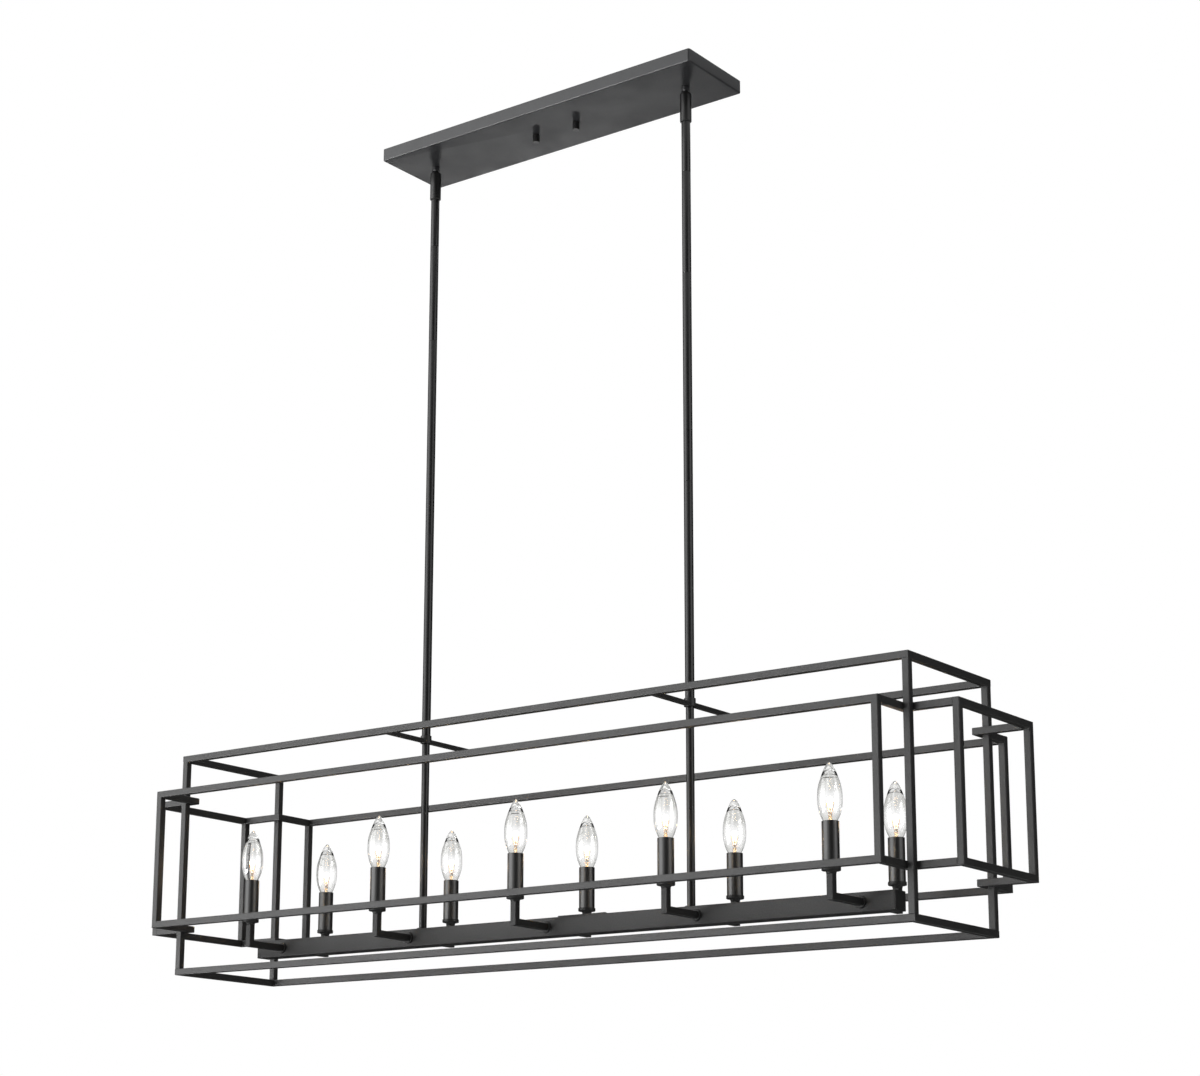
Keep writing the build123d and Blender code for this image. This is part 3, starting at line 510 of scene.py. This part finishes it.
def knurl_tree():
    """Straight knurling: upright ridges set evenly round a turned blank."""
    tree, given = start_tree("straight_knurl", (("Knurl Count", "NodeSocketInt"),
                                                ("Knurl Circle", "NodeSocketFloat"),
                                                ("Ridge Radius", "NodeSocketFloat"),
                                                ("Ridge Length", "NodeSocketFloat"),
                                                ("Centre", "NodeSocketVector")))
    circle = step_node(tree, "GeometryNodeMeshCircle",
                       {"Vertices": given["Knurl Count"], "Radius": given["Knurl Circle"]})
    ridge = step_node(tree, "GeometryNodeMeshCylinder",
                      {"Radius": given["Ridge Radius"], "Depth": given["Ridge Length"]}, Vertices=8)
    index = tree.nodes.new("GeometryNodeInputIndex").outputs[0]
    share = sum_up(tree, "DIVIDE", index, given["Knurl Count"])
    angle = sum_up(tree, "MULTIPLY", share, 2 * math.pi)
    spun = step_node(tree, "GeometryNodeInstanceOnPoints", {
        "Points": circle.outputs["Mesh"],
        "Instance": ridge.outputs["Mesh"],
        "Rotation": point_at(tree, 0.0, 0.0, angle),
    })
    moved = step_node(tree, "GeometryNodeTransform",
                      {"Geometry": spun.outputs["Instances"], "Translation": given["Centre"]})
    both = tree.nodes.new("GeometryNodeJoinGeometry")
    tree.links.new(moved.outputs["Geometry"], both.inputs["Geometry"])
    tree.links.new(given["Blank"], both.inputs["Geometry"])
    return end_tree(tree, both.outputs["Geometry"], given["Finish"])


def rolled_thread_tree():
    """Rolls a round thread into a blank tube that stands about its own upright axis."""
    tree, given = start_tree("rolled_thread", (("Pitch", "NodeSocketFloat"), ("Depth", "NodeSocketFloat")))
    place = tree.nodes.new("GeometryNodeInputPosition").outputs[0]
    parts = step_node(tree, "ShaderNodeSeparateXYZ", {"Vector": place}).outputs
    round_angle = sum_up(tree, "ARCTAN2", parts["Y"], parts["X"])
    climb = sum_up(tree, "MULTIPLY", sum_up(tree, "DIVIDE", parts["Z"], given["Pitch"]), 2 * math.pi)
    wave = sum_up(tree, "SINE", sum_up(tree, "SUBTRACT", climb, round_angle))
    reach = sum_up(tree, "MULTIPLY", wave, given["Depth"])
    outward = point_at(tree, sum_up(tree, "COSINE", round_angle), sum_up(tree, "SINE", round_angle))
    shift = step_node(tree, "ShaderNodeVectorMath", operation="SCALE")
    tree.links.new(outward, shift.inputs["Vector"])
    tree.links.new(reach, shift.inputs["Scale"])
    rolled = step_node(tree, "GeometryNodeSetPosition",
                       {"Geometry": given["Blank"], "Offset": shift.outputs["Vector"]})
    return end_tree(tree, rolled.outputs["Geometry"], given["Finish"])


def filament_tree():
    """A fine coil that bows upwards between the two lead wires."""
    tree, given = start_tree("coiled_filament", (("Turns", "NodeSocketFloat"),
                                                 ("Points", "NodeSocketInt"),
                                                 ("Coil Radius", "NodeSocketFloat"),
                                                 ("Wire Radius", "NodeSocketFloat"),
                                                 ("Bow Radius", "NodeSocketFloat"),
                                                 ("Bow Angle", "NodeSocketFloat"),
                                                 ("Height", "NodeSocketFloat")))
    line = step_node(tree, "GeometryNodeMeshLine", {"Count": given["Points"]})
    index = tree.nodes.new("GeometryNodeInputIndex").outputs[0]
    share = sum_up(tree, "DIVIDE", index, sum_up(tree, "SUBTRACT", given["Points"], 1.0))
    bow = sum_up(tree, "MULTIPLY", sum_up(tree, "SUBTRACT", share, 0.5), given["Bow Angle"])
    twist = sum_up(tree, "MULTIPLY", sum_up(tree, "MULTIPLY", share, given["Turns"]), 2 * math.pi)
    out = sum_up(tree, "ADD", given["Bow Radius"],
                 sum_up(tree, "MULTIPLY", given["Coil Radius"], sum_up(tree, "COSINE", twist)))
    x = sum_up(tree, "MULTIPLY", out, sum_up(tree, "SINE", bow))
    rise = sum_up(tree, "MULTIPLY", out, sum_up(tree, "COSINE", bow))
    z = sum_up(tree, "ADD", sum_up(tree, "SUBTRACT", rise, given["Bow Radius"]), given["Height"])
    y = sum_up(tree, "MULTIPLY", given["Coil Radius"], sum_up(tree, "SINE", twist))
    wound = step_node(tree, "GeometryNodeSetPosition",
                      {"Geometry": line.outputs["Mesh"], "Position": point_at(tree, x, y, z)})
    curve = step_node(tree, "GeometryNodeMeshToCurve", {"Mesh": wound.outputs["Geometry"]})
    section = step_node(tree, "GeometryNodeCurvePrimitiveCircle",
                        {"Radius": given["Wire Radius"]}, Resolution=5)
    wire = step_node(tree, "GeometryNodeCurveToMesh", {
        "Curve": curve.outputs["Curve"],
        "Profile Curve": section.outputs["Curve"],
    })
    wire.inputs["Fill Caps"].default_value = True
    return end_tree(tree, wire.outputs["Mesh"], given["Finish"])


def weld_tree():
    """Overlapping weld beads along the edges of a blank, each of a slightly different size."""
    tree, given = start_tree("weld_beads", (("Bead Radius", "NodeSocketFloat"),
                                            ("Bead Spacing", "NodeSocketFloat"),
                                            ("Seed", "NodeSocketInt")))
    curve = step_node(tree, "GeometryNodeMeshToCurve", {"Mesh": given["Blank"]})
    spaced = step_node(tree, "GeometryNodeResampleCurve",
                       {"Curve": curve.outputs["Curve"], "Length": given["Bead Spacing"]}, mode="LENGTH")
    bead = step_node(tree, "GeometryNodeMeshIcoSphere", {"Radius": given["Bead Radius"]}, Subdivisions=2)
    size = step_node(tree, "FunctionNodeRandomValue", {"Seed": given["Seed"]}, data_type="FLOAT_VECTOR")
    size.inputs["Min"].default_value = (0.75, 0.75, 0.7)
    size.inputs["Max"].default_value = (1.15, 1.15, 1.1)
    beads = step_node(tree, "GeometryNodeInstanceOnPoints", {
        "Points": spaced.outputs["Curve"],
        "Instance": bead.outputs["Mesh"],
        "Scale": size.outputs["Value"],
    })
    return end_tree(tree, beads.outputs["Instances"], given["Finish"])


# ---------------------------------------------------------------- rods and stems
def round_bar(bm, x, low, high, radius):
    """A round bar with its end edges eased, so that each joint shows as a fine groove."""
    ease = ROD_END_ROUND
    profile = [(0.0, low)]
    profile += rounded_corner((radius - ease, low + ease), ease, -90)
    profile += rounded_corner((radius - ease, high - ease), ease, 0)
    profile += [(0.0, high)]
    turn(bm, profile, (x, 0.0), 72)


def make_rods():
    """Short, medium and two long rods on each side, and the thinner stem inside the cage."""
    short_top, medium_top, long_top = ROD_TOPS
    middle = (long_top + LONG_ROD_BOTTOM) / 2
    runs = [(medium_top, short_top), (long_top, medium_top), (middle, long_top), (LONG_ROD_BOTTOM, middle)]
    bm = bmesh.new()
    for x in (-ROD_X, ROD_X):
        for low, high in runs:
            round_bar(bm, x, low, high, ROD_RADIUS)
    seat(piece_from(bm, "hanging_rods", [ROD_COAT]), "fixture", "rod_paint",
         "rods_short", "rods_medium", "rods_long")
    for side, x in (("left", -ROD_X), ("right", ROD_X)):
        bm = bmesh.new()
        round_bar(bm, x, STEM_BOTTOM, STEM_TOP, STEM_RADIUS)
        seat(piece_from(bm, f"cage_stem_{side}", [ROD_COAT]), "fixture", "rod_paint", f"lower_stem_{side}")


# ---------------------------------------------------------------- canopy
def make_canopy_pan():
    """The ceiling pan with the small radii that folding leaves along its lower edges and corners."""
    low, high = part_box("canopy_pan")
    bm = bmesh.new()
    bm.from_mesh(frame["nodes"]["canopy_pan"].data)
    bmesh.ops.remove_doubles(bm, verts=bm.verts, dist=1e-6)
    bmesh.ops.dissolve_limit(bm, angle_limit=math.radians(0.5), verts=bm.verts, edges=bm.edges)
    folds = []
    for edge in bm.edges:
        ends = [vert.co for vert in edge.verts]
        on_side = [all(abs(abs(end[axis]) - high[axis]) < 1e-5 for end in ends) for axis in (0, 1)]
        on_floor = all(end.z - low.z < 1e-5 for end in ends)
        if all(on_side) or (on_floor and any(on_side)):
            folds.append(edge)
    bmesh.ops.bevel(bm, geom=folds, offset=PAN_FOLD_RADIUS, offset_type="OFFSET", segments=4, profile=0.5,
                    affect="EDGES", clamp_overlap=False)
    pan = piece_from(bm, "ceiling_pan", [CANOPY_COAT], 40.0, outward=False)
    seat(pan, "ceiling_mount", "canopy_paint", "canopy_pan")


def make_knurled_nuts():
    """The two thumb nuts under the pan: a turned body with straight knurling."""
    tree = knurl_tree()
    for side in ("left", "right"):
        node = f"canopy_nut_{side}"
        low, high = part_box(node)
        x = (low.x + high.x) / 2
        core = NUT_RADIUS - KNURL_HEIGHT * 0.55
        edge = NUT_EDGE
        bm = bmesh.new()
        profile = [(0.0, low.z), (core - 1.6 * edge, low.z)]
        profile += rounded_corner((core - edge, low.z + edge), edge, -90)
        profile += [(core, low.z + edge * 1.5), (core, high.z - edge)]
        profile += [(core - edge / 2, high.z), (0.0, high.z)]
        turn(bm, profile, (x, 0.0), 64)
        values = {
            "Knurl Count": KNURL_COUNT,
            "Knurl Circle": core - 0.03 * MM,
            "Ridge Radius": KNURL_HEIGHT * 0.58,
            "Ridge Length": high.z - low.z - 3.2 * edge,
            "Centre": (x, 0.0, (low.z + high.z) / 2 + edge / 2),
        }
        nut = grow(tree, f"knurled_nut_{side}", blank_mesh(bm, "nut_blank"), values, ROD_COAT)
        seat(nut, node, "canopy_paint", node)


# ---------------------------------------------------------------- cage
def make_boss_welds():
    """Weld beads where each crossbar meets its boss, on all four faces of the bar."""
    tree = weld_tree()
    half = (CROSSBAR_TOP - CROSSBAR_BOTTOM) / 2
    middle = (CROSSBAR_TOP + CROSSBAR_BOTTOM) / 2
    reach = BOSS_RADIUS + 0.2 * MM
    turn_out = math.asin(half / reach)
    bm = bmesh.new()
    for x in (-ROD_X, ROD_X):
        for side in (-1, 1):
            loop = []
            for up in (1, -1):
                for step in range(5):
                    angle = side * math.pi / 2 + up * turn_out * (step / 2 - 1)
                    loop.append(bm.verts.new((x + reach * math.cos(angle), reach * math.sin(angle),
                                              middle + up * half)))
            for start, end in zip(loop, loop[1:] + loop[:1]):
                bm.edges.new((start, end))
    values = {"Bead Radius": WELD_BEAD_RADIUS, "Bead Spacing": WELD_BEAD_RADIUS * 1.1, "Seed": 7}
    beads = grow(tree, "boss_weld_beads", blank_mesh(bm, "weld_path"), values, FRAME_COAT, 60.0)
    seat(beads, "fixture", "frame_paint")


# ---------------------------------------------------------------- candle lamps
def make_cups_and_sleeves():
    """Turned cups and cover tubes at all ten stations."""
    tree = lamp_row_tree()
    places = {"Station Count": STATION_COUNT, "Station Pitch": STATION_PITCH, "Row Offset": ROW_OFFSET}
    rim = CUP_BOTTOM + CUP_COVE_HEIGHT
    inside = CUP_RIM_RADIUS - CUP_WALL
    floor = rim + CUP_FLOOR
    cove_centre = (CUP_COVE_RADIUS + 1.3 * MM, CUP_BOTTOM + 0.26 * MM)
    profile = [(0.0, CUP_BOTTOM), (CUP_FOOT_RADIUS, CUP_BOTTOM)]
    profile += rounded_corner(cove_centre, CUP_COVE_HEIGHT, 184, 6, -71)[1:]
    profile += [(CUP_COVE_RADIUS + 0.4 * MM, rim)]
    profile += rounded_corner((CUP_RIM_RADIUS - CUP_RIM_ROUND, rim + CUP_RIM_ROUND), CUP_RIM_ROUND, -90, 6)
    profile += rounded_corner((CUP_RIM_RADIUS - CUP_EDGE_ROUND, CUP_TOP - CUP_EDGE_ROUND), CUP_EDGE_ROUND, 0)
    profile += [(inside, CUP_TOP - 0.1 * MM), (inside, floor), (0.0, floor)]
    bm = bmesh.new()
    turn(bm, profile, segments=72)
    cups = grow(tree, "candle_cup_rows", blank_mesh(bm, "cup_blank"), places, BEAM_COAT)
    seat(cups, "fixture", "frame_paint", "candle_cups")

    ease = SLEEVE_RIM_ROUND
    bore = SLEEVE_RADIUS - SLEEVE_WALL
    profile = [(bore, SLEEVE_BOTTOM), (SLEEVE_RADIUS, SLEEVE_BOTTOM)]
    profile += rounded_corner((SLEEVE_RADIUS - ease, SLEEVE_TOP - ease), ease, 0)
    profile += rounded_corner((bore + ease, SLEEVE_TOP - ease), ease, 90)
    bm = bmesh.new()
    turn(bm, profile, segments=72, closed=True)
    sleeves = grow(tree, "candle_sleeve_rows", blank_mesh(bm, "sleeve_blank"), places, SLEEVE_COAT)
    seat(sleeves, "fixture", "sleeve_paint", "candle_sleeves")


def smooth_outline(points, steps):
    """Points along a smooth curve through all given points."""
    knots = [Vector((radius * MM, height * MM, 0.0)) for height, radius in points]
    ends = [knots[0]] + knots + [knots[-1]]
    slopes = [(after - before) / 2 for before, after in zip(ends, ends[2:])]
    line = []
    for index in range(len(knots) - 1):
        here, there = knots[index], knots[index + 1]
        span = (there - here).length
        first = here + slopes[index].normalized() * span / 3
        second = there - slopes[index + 1].normalized() * span / 3
        line += interpolate_bezier(here, first, second, there, steps + 1)[:-1]
    return [(point.x, point.y) for point in line + [knots[-1]]]


def width_at(outline, height):
    """Half width of an outline at a height, between its points."""
    for (low_radius, low), (high_radius, high) in zip(outline, outline[1:]):
        if low <= height <= high:
            return low_radius + (high_radius - low_radius) * (height - low) / (high - low)
    return outline[-1][0]


def bulb_envelope():
    """Closed glass shell about its own axis, height 0 at the sleeve's mouth."""
    outside = smooth_outline(BULB_OUTLINE, 4)
    tip = outside[-1][1]
    cavity_top = tip - BULB_SOLID_TIP
    dome = cavity_top - BULB_DOME_HEIGHT
    inside = [(radius - BULB_WALL, height) for radius, height in outside if height < dome]
    for step in range(19):
        climb = math.sin(math.pi / 2 * step / 18)
        height = dome + BULB_DOME_HEIGHT * climb
        radius = width_at(outside, height)
        inside.append(((radius - BULB_WALL) * (1 - climb ** 2) ** 0.5, height))
    inside[-1] = (0.0, cavity_top)
    neck = inside[0][1]
    profile = [(inside[0][0], neck)] + outside + [(0.0, tip + 0.1 * MM)]
    bm = bmesh.new()
    turn(bm, profile, segments=72)
    turn(bm, inside[::-1], segments=72)
    bmesh.ops.remove_doubles(bm, verts=bm.verts, dist=1e-6)
    # Painted reflection: a wave round the axis that the glass material turns into darker stripes.
    painted_stripe_wave = bm.verts.layers.float.new("painted_stripe_wave")
    for vert in bm.verts:
        angle = math.atan2(vert.co.y, vert.co.x)
        waves = ((9, 0.7, 0.26), (14, 2.1, 0.16), (5, 4.0, 0.10))
        vert[painted_stripe_wave] = 0.5 + sum(share * math.cos(count * angle + lead) for count, lead, share in waves)
    return bm


def wire(bm, points, radius, sides=8, slot=0):
    """A round wire through the points, with closed ends."""
    rings = []
    for index, point in enumerate(points):
        before = Vector(points[max(index - 1, 0)])
        after = Vector(points[min(index + 1, len(points) - 1)])
        along = (after - before).normalized()
        across = across - along * across.dot(along) if rings else along.orthogonal()
        across.normalize()
        other = along.cross(across)
        rings.append([bm.verts.new(Vector(point) + radius * (
            math.cos(2 * math.pi * step / sides) * across + math.sin(2 * math.pi * step / sides) * other))
            for step in range(sides)])
    for low, high in zip(rings, rings[1:]):
        for step in range(sides):
            after = (step + 1) % sides
            bm.faces.new((low[step], low[after], high[after], high[step])).material_index = slot
    bm.faces.new(rings[0][::-1]).material_index = slot
    bm.faces.new(rings[-1]).material_index = slot


def bulb_stem():
    """Hollow glass flare and solid pinch that carry the lead wires, inside the envelope."""
    bm = bmesh.new()
    outside = [(4.1, -6.2), (4.6, -6.2), (4.2, -4.5), (3.2, -1.0), (2.6, 3.0), (2.4, 7.0), (2.2, 9.6),
               (1.4, 11.4), (0.0, 12.2)]
    hollow = [(0.0, 7.6), (1.2, 7.0), (1.9, 5.4), (2.1, 3.0), (2.7, -1.0), (3.7, -4.5), (4.1, -6.2)]
    for profile in (outside, hollow):
        turn(bm, [(radius * MM, height * MM) for radius, height in profile], segments=32)
    bmesh.ops.remove_doubles(bm, verts=bm.verts, dist=1e-6)
    return bm


def lead_wires():
    """Two lead wires that spread to the filament's ends, and its middle hook."""
    bm = bmesh.new()
    half = FILAMENT_SPAN / 2
    for side in (-1, 1):
        wire(bm, [(side * 1.2 * MM, 0, 1.0 * MM), (side * 1.4 * MM, 0, 7.0 * MM),
                  (side * 2.0 * MM, 0, 9.5 * MM), (side * half * 0.96, 0, 20.5 * MM),
                  (side * half, 0, FILAMENT_HEIGHT - 2.6 * MM)], 0.36 * MM)
    wire(bm, [(0, 0, 9.0 * MM), (0, 0.2 * MM, 18.0 * MM), (0, 0, FILAMENT_HEIGHT + 0.6 * MM)], 0.18 * MM)
    return bm


def support_beads():
    """Two small amber glass beads that hold the wires; their material paints a glow on them."""
    bm = bmesh.new()
    for height, half_width in ((15.2 * MM, 1.7 * MM), (6.0 * MM, 1.2 * MM)):
        profile = [(0.0, height - half_width)]
        profile += rounded_corner((0.0, height), half_width, -75, 10, 150)
        profile += [(0.0, height + half_width)]
        turn(bm, profile, segments=24)
    return bm


def screw_base(bottom, contact_top, base_top):
    """Collar, insulator and end contact of the base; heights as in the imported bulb."""
    bm = bmesh.new()
    radius = BULB_BASE_RADIUS
    collar = [(0.0, base_top - 2.0 * MM), (radius, base_top - 2.0 * MM), (radius, base_top - 0.4 * MM),
              (radius - 0.4 * MM, base_top), (0.0, base_top)]
    turn(bm, collar, segments=40, slot=0)
    insulator = [(0.0, contact_top), (2.6 * MM, contact_top), (radius - 0.6 * MM, contact_top + 2.6 * MM),
                 (0.0, contact_top + 2.6 * MM)]
    turn(bm, insulator, segments=40, slot=1)
    contact = [(0.0, bottom), (1.2 * MM, bottom + 0.1 * MM), (2.0 * MM, bottom + 0.7 * MM),
               (2.3 * MM, contact_top), (0.0, contact_top + 0.2 * MM)]
    turn(bm, contact, segments=24, slot=0)
    return bm


def join_pieces(name, pieces, place):
    """One mesh from several, moved together to their place."""
    bm = bmesh.new()
    materials = []
    for piece in pieces:
        shift = len(materials)
        part = bmesh.new()
        part.from_mesh(piece.data)
        for face in part.faces:
            face.material_index += shift
        scratch = bpy.data.meshes.new("scratch")
        part.to_mesh(scratch)
        part.free()
        bm.from_mesh(scratch)
        bpy.data.meshes.remove(scratch)
        materials += list(piece.data.materials)
    bmesh.ops.translate(bm, verts=bm.verts, vec=place)
    mesh = bpy.data.meshes.new(name)
    bm.to_mesh(mesh)
    bm.free()
    for material in materials:
        mesh.materials.append(material)
    piece = bpy.data.objects.new(name, mesh)
    bpy.context.scene.collection.objects.link(piece)
    return piece


def make_bulbs():
    """Ten bulbs: clear envelope, and inside it the stem, wires and filament on a screw base."""
    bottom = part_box("bulb_front_1")[0].z - SLEEVE_TOP
    base_top = BULB_BASE_TOP
    contact_top = bottom + 2.0 * MM
    envelope = piece_from(bulb_envelope(), "bulb_envelope", [BULB_GLASS_WITH_PAINTED_SHADE], 60.0)
    stem = piece_from(bulb_stem(), "bulb_stem", [STEM_GLASS], 60.0)
    leads = piece_from(lead_wires(), "bulb_leads", [SUPPORT_WIRE], 60.0)
    beads = piece_from(support_beads(), "bulb_beads", [BEAD_PAINTED_GLOW], 60.0)
    base = piece_from(screw_base(bottom, contact_top, base_top), "bulb_base", [SCREW_SHELL, BASE_GLASS])
    bm = bmesh.new()
    shell_low = contact_top + 2.4 * MM
    shell_high = base_top - 1.8 * MM
    rows = 48
    turn(bm, [(BULB_BASE_RADIUS - BULB_THREAD_DEPTH,
               shell_low + (shell_high - shell_low) * step / rows) for step in range(rows + 1)], segments=40)
    shell = grow(rolled_thread_tree(), "bulb_thread", blank_mesh(bm, "shell_blank"),
                 {"Pitch": BULB_THREAD_PITCH, "Depth": BULB_THREAD_DEPTH}, SCREW_SHELL, 80.0)
    values = {
        "Turns": float(FILAMENT_TURNS),
        "Points": FILAMENT_TURNS * POINTS_PER_TURN,
        "Coil Radius": 0.34 * MM,
        "Wire Radius": 0.1 * MM,
        "Bow Radius": FILAMENT_SPAN * 0.62,
        "Bow Angle": 1.85,
        "Height": FILAMENT_HEIGHT,
    }
    coil = grow(filament_tree(), "bulb_coil", bpy.data.meshes.new("coil_blank"), values, FILAMENT, 80.0)
    parts = [envelope, stem, leads, beads, base, shell, coil]
    for row, side in (("front", -1), ("back", 1)):
        for number in range(STATION_COUNT):
            node = f"bulb_{row}_{number + 1}"
            x = STATION_PITCH * (number - (STATION_COUNT - 1) / 2)
            place = Vector((x, side * ROW_OFFSET, SLEEVE_TOP))
            glass = join_pieces(f"{node}_envelope", [envelope], place)
            seat(glass, node, "bulb_glass", node)
            burner = join_pieces(f"{node}_burner", parts[1:], place)
            seat(burner, node, "bulb_glass", node)
            glow = bpy.data.lights.new(f"{node}_glow", "POINT")
            glow.energy = 0.035
            glow.color = (1.0, 0.66, 0.36)
            glow.shadow_soft_size = 4 * MM
            lamp = bpy.data.objects.new(f"{node}_glow", glow)
            lamp.location = place + Vector((0, 0, FILAMENT_HEIGHT))
            bpy.context.scene.collection.objects.link(lamp)
            lamp.parent = frame["bodies"][node]
    for piece in parts:
        bpy.data.objects.remove(piece)


# ---------------------------------------------------------------- studio
FLOOR_HEIGHT = -2.3
FLOOR_HALF_SIZE = 30.0
FLOOR_GLOW = 0.55
FILL_LEVEL = 0.38
SCREEN_STEPS = 24
CLOTH_NEAR, CLOTH_FAR = 0.6, 5.5
# Dark screens: name, first and last direction in degrees, distance, lowest and highest edge
DARK_SCREENS = (
    ("back_screen", 32, 190, 5.5, -2.25, 2.6),
    ("camera_screen", -74, -20, 5.5, -2.25, 2.6),
)

CAMERA_PLACE = (2.0915, -2.7640, -1.6108)
CAMERA_PAN, CAMERA_TILT, CAMERA_ROLL = 0.67763374, 0.22968307, -0.01248375


def make_camera():
    """The camera's place, heading and lens, fitted to the corners of the cage."""
    camera = bpy.data.objects.new("camera", bpy.data.cameras.new("camera"))
    camera.data.sensor_fit = "HORIZONTAL"
    camera.data.sensor_width = 36.0
    camera.data.lens = 75.445
    camera.data.shift_x = 0.10
    camera.data.shift_y = 0.085
    camera.data.clip_end = 60.0
    heading = (Matrix.Rotation(CAMERA_PAN, 4, "Z") @ Matrix.Rotation(CAMERA_TILT, 4, "X")
               @ Matrix.Rotation(CAMERA_ROLL, 4, "Y") @ Matrix.Rotation(math.pi / 2, 4, "X"))
    camera.matrix_world = Matrix.Translation(CAMERA_PLACE) @ heading
    bpy.context.scene.collection.objects.link(camera)
    bpy.context.scene.camera = camera


def make_world():
    """White background for what is seen directly, mirrored or through glass; a calm fill for the rest."""
    world = bpy.data.worlds.new("studio")
    bpy.context.scene.world = world
    world.use_nodes = True
    nodes, links = world.node_tree.nodes, world.node_tree.links
    background = nodes["Background"]
    background.inputs["Color"].default_value = (1, 1, 1, 1)
    rays = nodes.new("ShaderNodeLightPath")
    seen = nodes.new("ShaderNodeMath")
    seen.operation = "MAXIMUM"
    links.new(rays.outputs["Is Camera Ray"], seen.inputs[0])
    links.new(rays.outputs["Is Glossy Ray"], seen.inputs[1])
    clear = nodes.new("ShaderNodeMath")
    clear.operation = "MAXIMUM"
    links.new(seen.outputs[0], clear.inputs[0])
    links.new(rays.outputs["Is Transmission Ray"], clear.inputs[1])
    level = nodes.new("ShaderNodeMapRange")
    level.inputs["To Min"].default_value = FILL_LEVEL
    level.inputs["To Max"].default_value = 1.0
    links.new(clear.outputs[0], level.inputs["Value"])
    links.new(level.outputs["Result"], background.inputs["Strength"])


def soft_box(name, place, target, width, height, level, spread=180):
    """A soft panel light that faces its target; level is its brightness as seen, 1 is white."""
    panel = bpy.data.lights.new(name, "AREA")
    panel.shape = "RECTANGLE"
    panel.size = width
    panel.size_y = height
    panel.energy = level * math.pi * width * height
    panel.spread = math.radians(spread)
    lamp = bpy.data.objects.new(name, panel)
    lamp.location = place
    lamp.rotation_euler = (Vector(target) - Vector(place)).to_track_quat("-Z", "Y").to_euler()
    bpy.context.scene.collection.objects.link(lamp)
    return lamp


def dark_screens():
    """Two curved black screens and a floor cloth, seen only in reflections, that deepen the coat's black."""
    material, shader = bare_material("studio_black_cloth")
    tone = mottle(material, 6.0, 3.0, 0.0, 1.0)
    join(material, two_tone(material, tone, (0.006, 0.006, 0.006), (0.012, 0.012, 0.012)),
         shader.inputs["Base Color"])
    shader.inputs["Roughness"].default_value = 1.0
    shader.inputs["Specular IOR Level"].default_value = 0.0
    floor_cloth = ("floor_cloth", 70, 180, None, FLOOR_HEIGHT + 5 * MM, None)
    for name, first, last, reach, low, high in (*DARK_SCREENS, floor_cloth):
        bm = bmesh.new()
        columns = []
        for step in range(SCREEN_STEPS + 1):
            angle = math.radians(first + (last - first) * step / SCREEN_STEPS)
            spots = [(reach, low), (reach, high)] if reach else [(CLOTH_FAR, low), (CLOTH_NEAR, low)]
            columns.append([bm.verts.new((far * math.cos(angle), far * math.sin(angle), height))
                            for far, height in spots])
        for here, there in zip(columns, columns[1:]):
            bm.faces.new((here[0], here[1], there[1], there[0]))
        screen = piece_from(bm, name, [material], outward=False)
        screen.visible_camera = False
        screen.visible_transmission = False
        screen.visible_shadow = False
        screen.visible_diffuse = False


def make_studio():
    """Soft panels at the front left, the right and behind, a strip and a card for the pan, dark screens that
    only reflections see, and a pale floor far below."""
    soft_box("front_panel", (-2.3, -3.1, 0.1), (0, 0, -0.6), 4.0, 3.6, 2.35)
    soft_box("side_panel", (3.7, 0.3, -0.6), (0, 0, -0.8), 1.4, 3.0, 1.2).visible_diffuse = False
    back_panel = soft_box("back_panel", (-1.6, 4.6, 0.8), (0, 0, -0.7), 3.0, 2.0, 12.0)
    back_panel.visible_glossy = back_panel.visible_transmission = back_panel.visible_camera = False
    soft_box("ceiling_card", (-3.1, 4.1, -1.95), (0, 0, -0.05), 3.6, 0.6, 0.05, 16)
    soft_box("edge_strip", (-1.95, -2.6, -1.9), (0, 0, -0.05), 3.4, 0.5, 5.5, 60).visible_diffuse = False
    dark_screens()
    bm = bmesh.new()
    bmesh.ops.create_grid(bm, x_segments=8, y_segments=8, size=FLOOR_HALF_SIZE)
    bmesh.ops.translate(bm, verts=bm.verts, vec=(0, 0, FLOOR_HEIGHT))
    material, shader = bare_material("studio_floor")
    tone = mottle(material, 3.0, 4.0, 0.0, 1.0)
    join(material, two_tone(material, tone, (0.76, 0.76, 0.755), (0.78, 0.78, 0.775)),
         shader.inputs["Base Color"])
    shader.inputs["Roughness"].default_value = 0.9
    shader.inputs["Specular IOR Level"].default_value = 0.0
    shader.inputs["Emission Color"].default_value = (1, 1, 1, 1)
    rays = shader_node(material, "ShaderNodeLightPath")
    lift = shader_node(material, "ShaderNodeMath", operation="MULTIPLY")
    lift.inputs[1].default_value = FLOOR_GLOW
    join(material, rays.outputs["Is Camera Ray"], lift.inputs[0])
    join(material, lift.outputs[0], shader.inputs["Emission Strength"])
    floor = piece_from(bm, "studio_floor", [material], outward=False)


bpy.context.scene.view_settings.view_transform = "Standard"
make_camera()
make_world()
make_studio()
dress_nodes()
make_rods()
make_canopy_pan()
make_knurled_nuts()
make_boss_welds()
make_cups_and_sleeves()
make_bulbs()
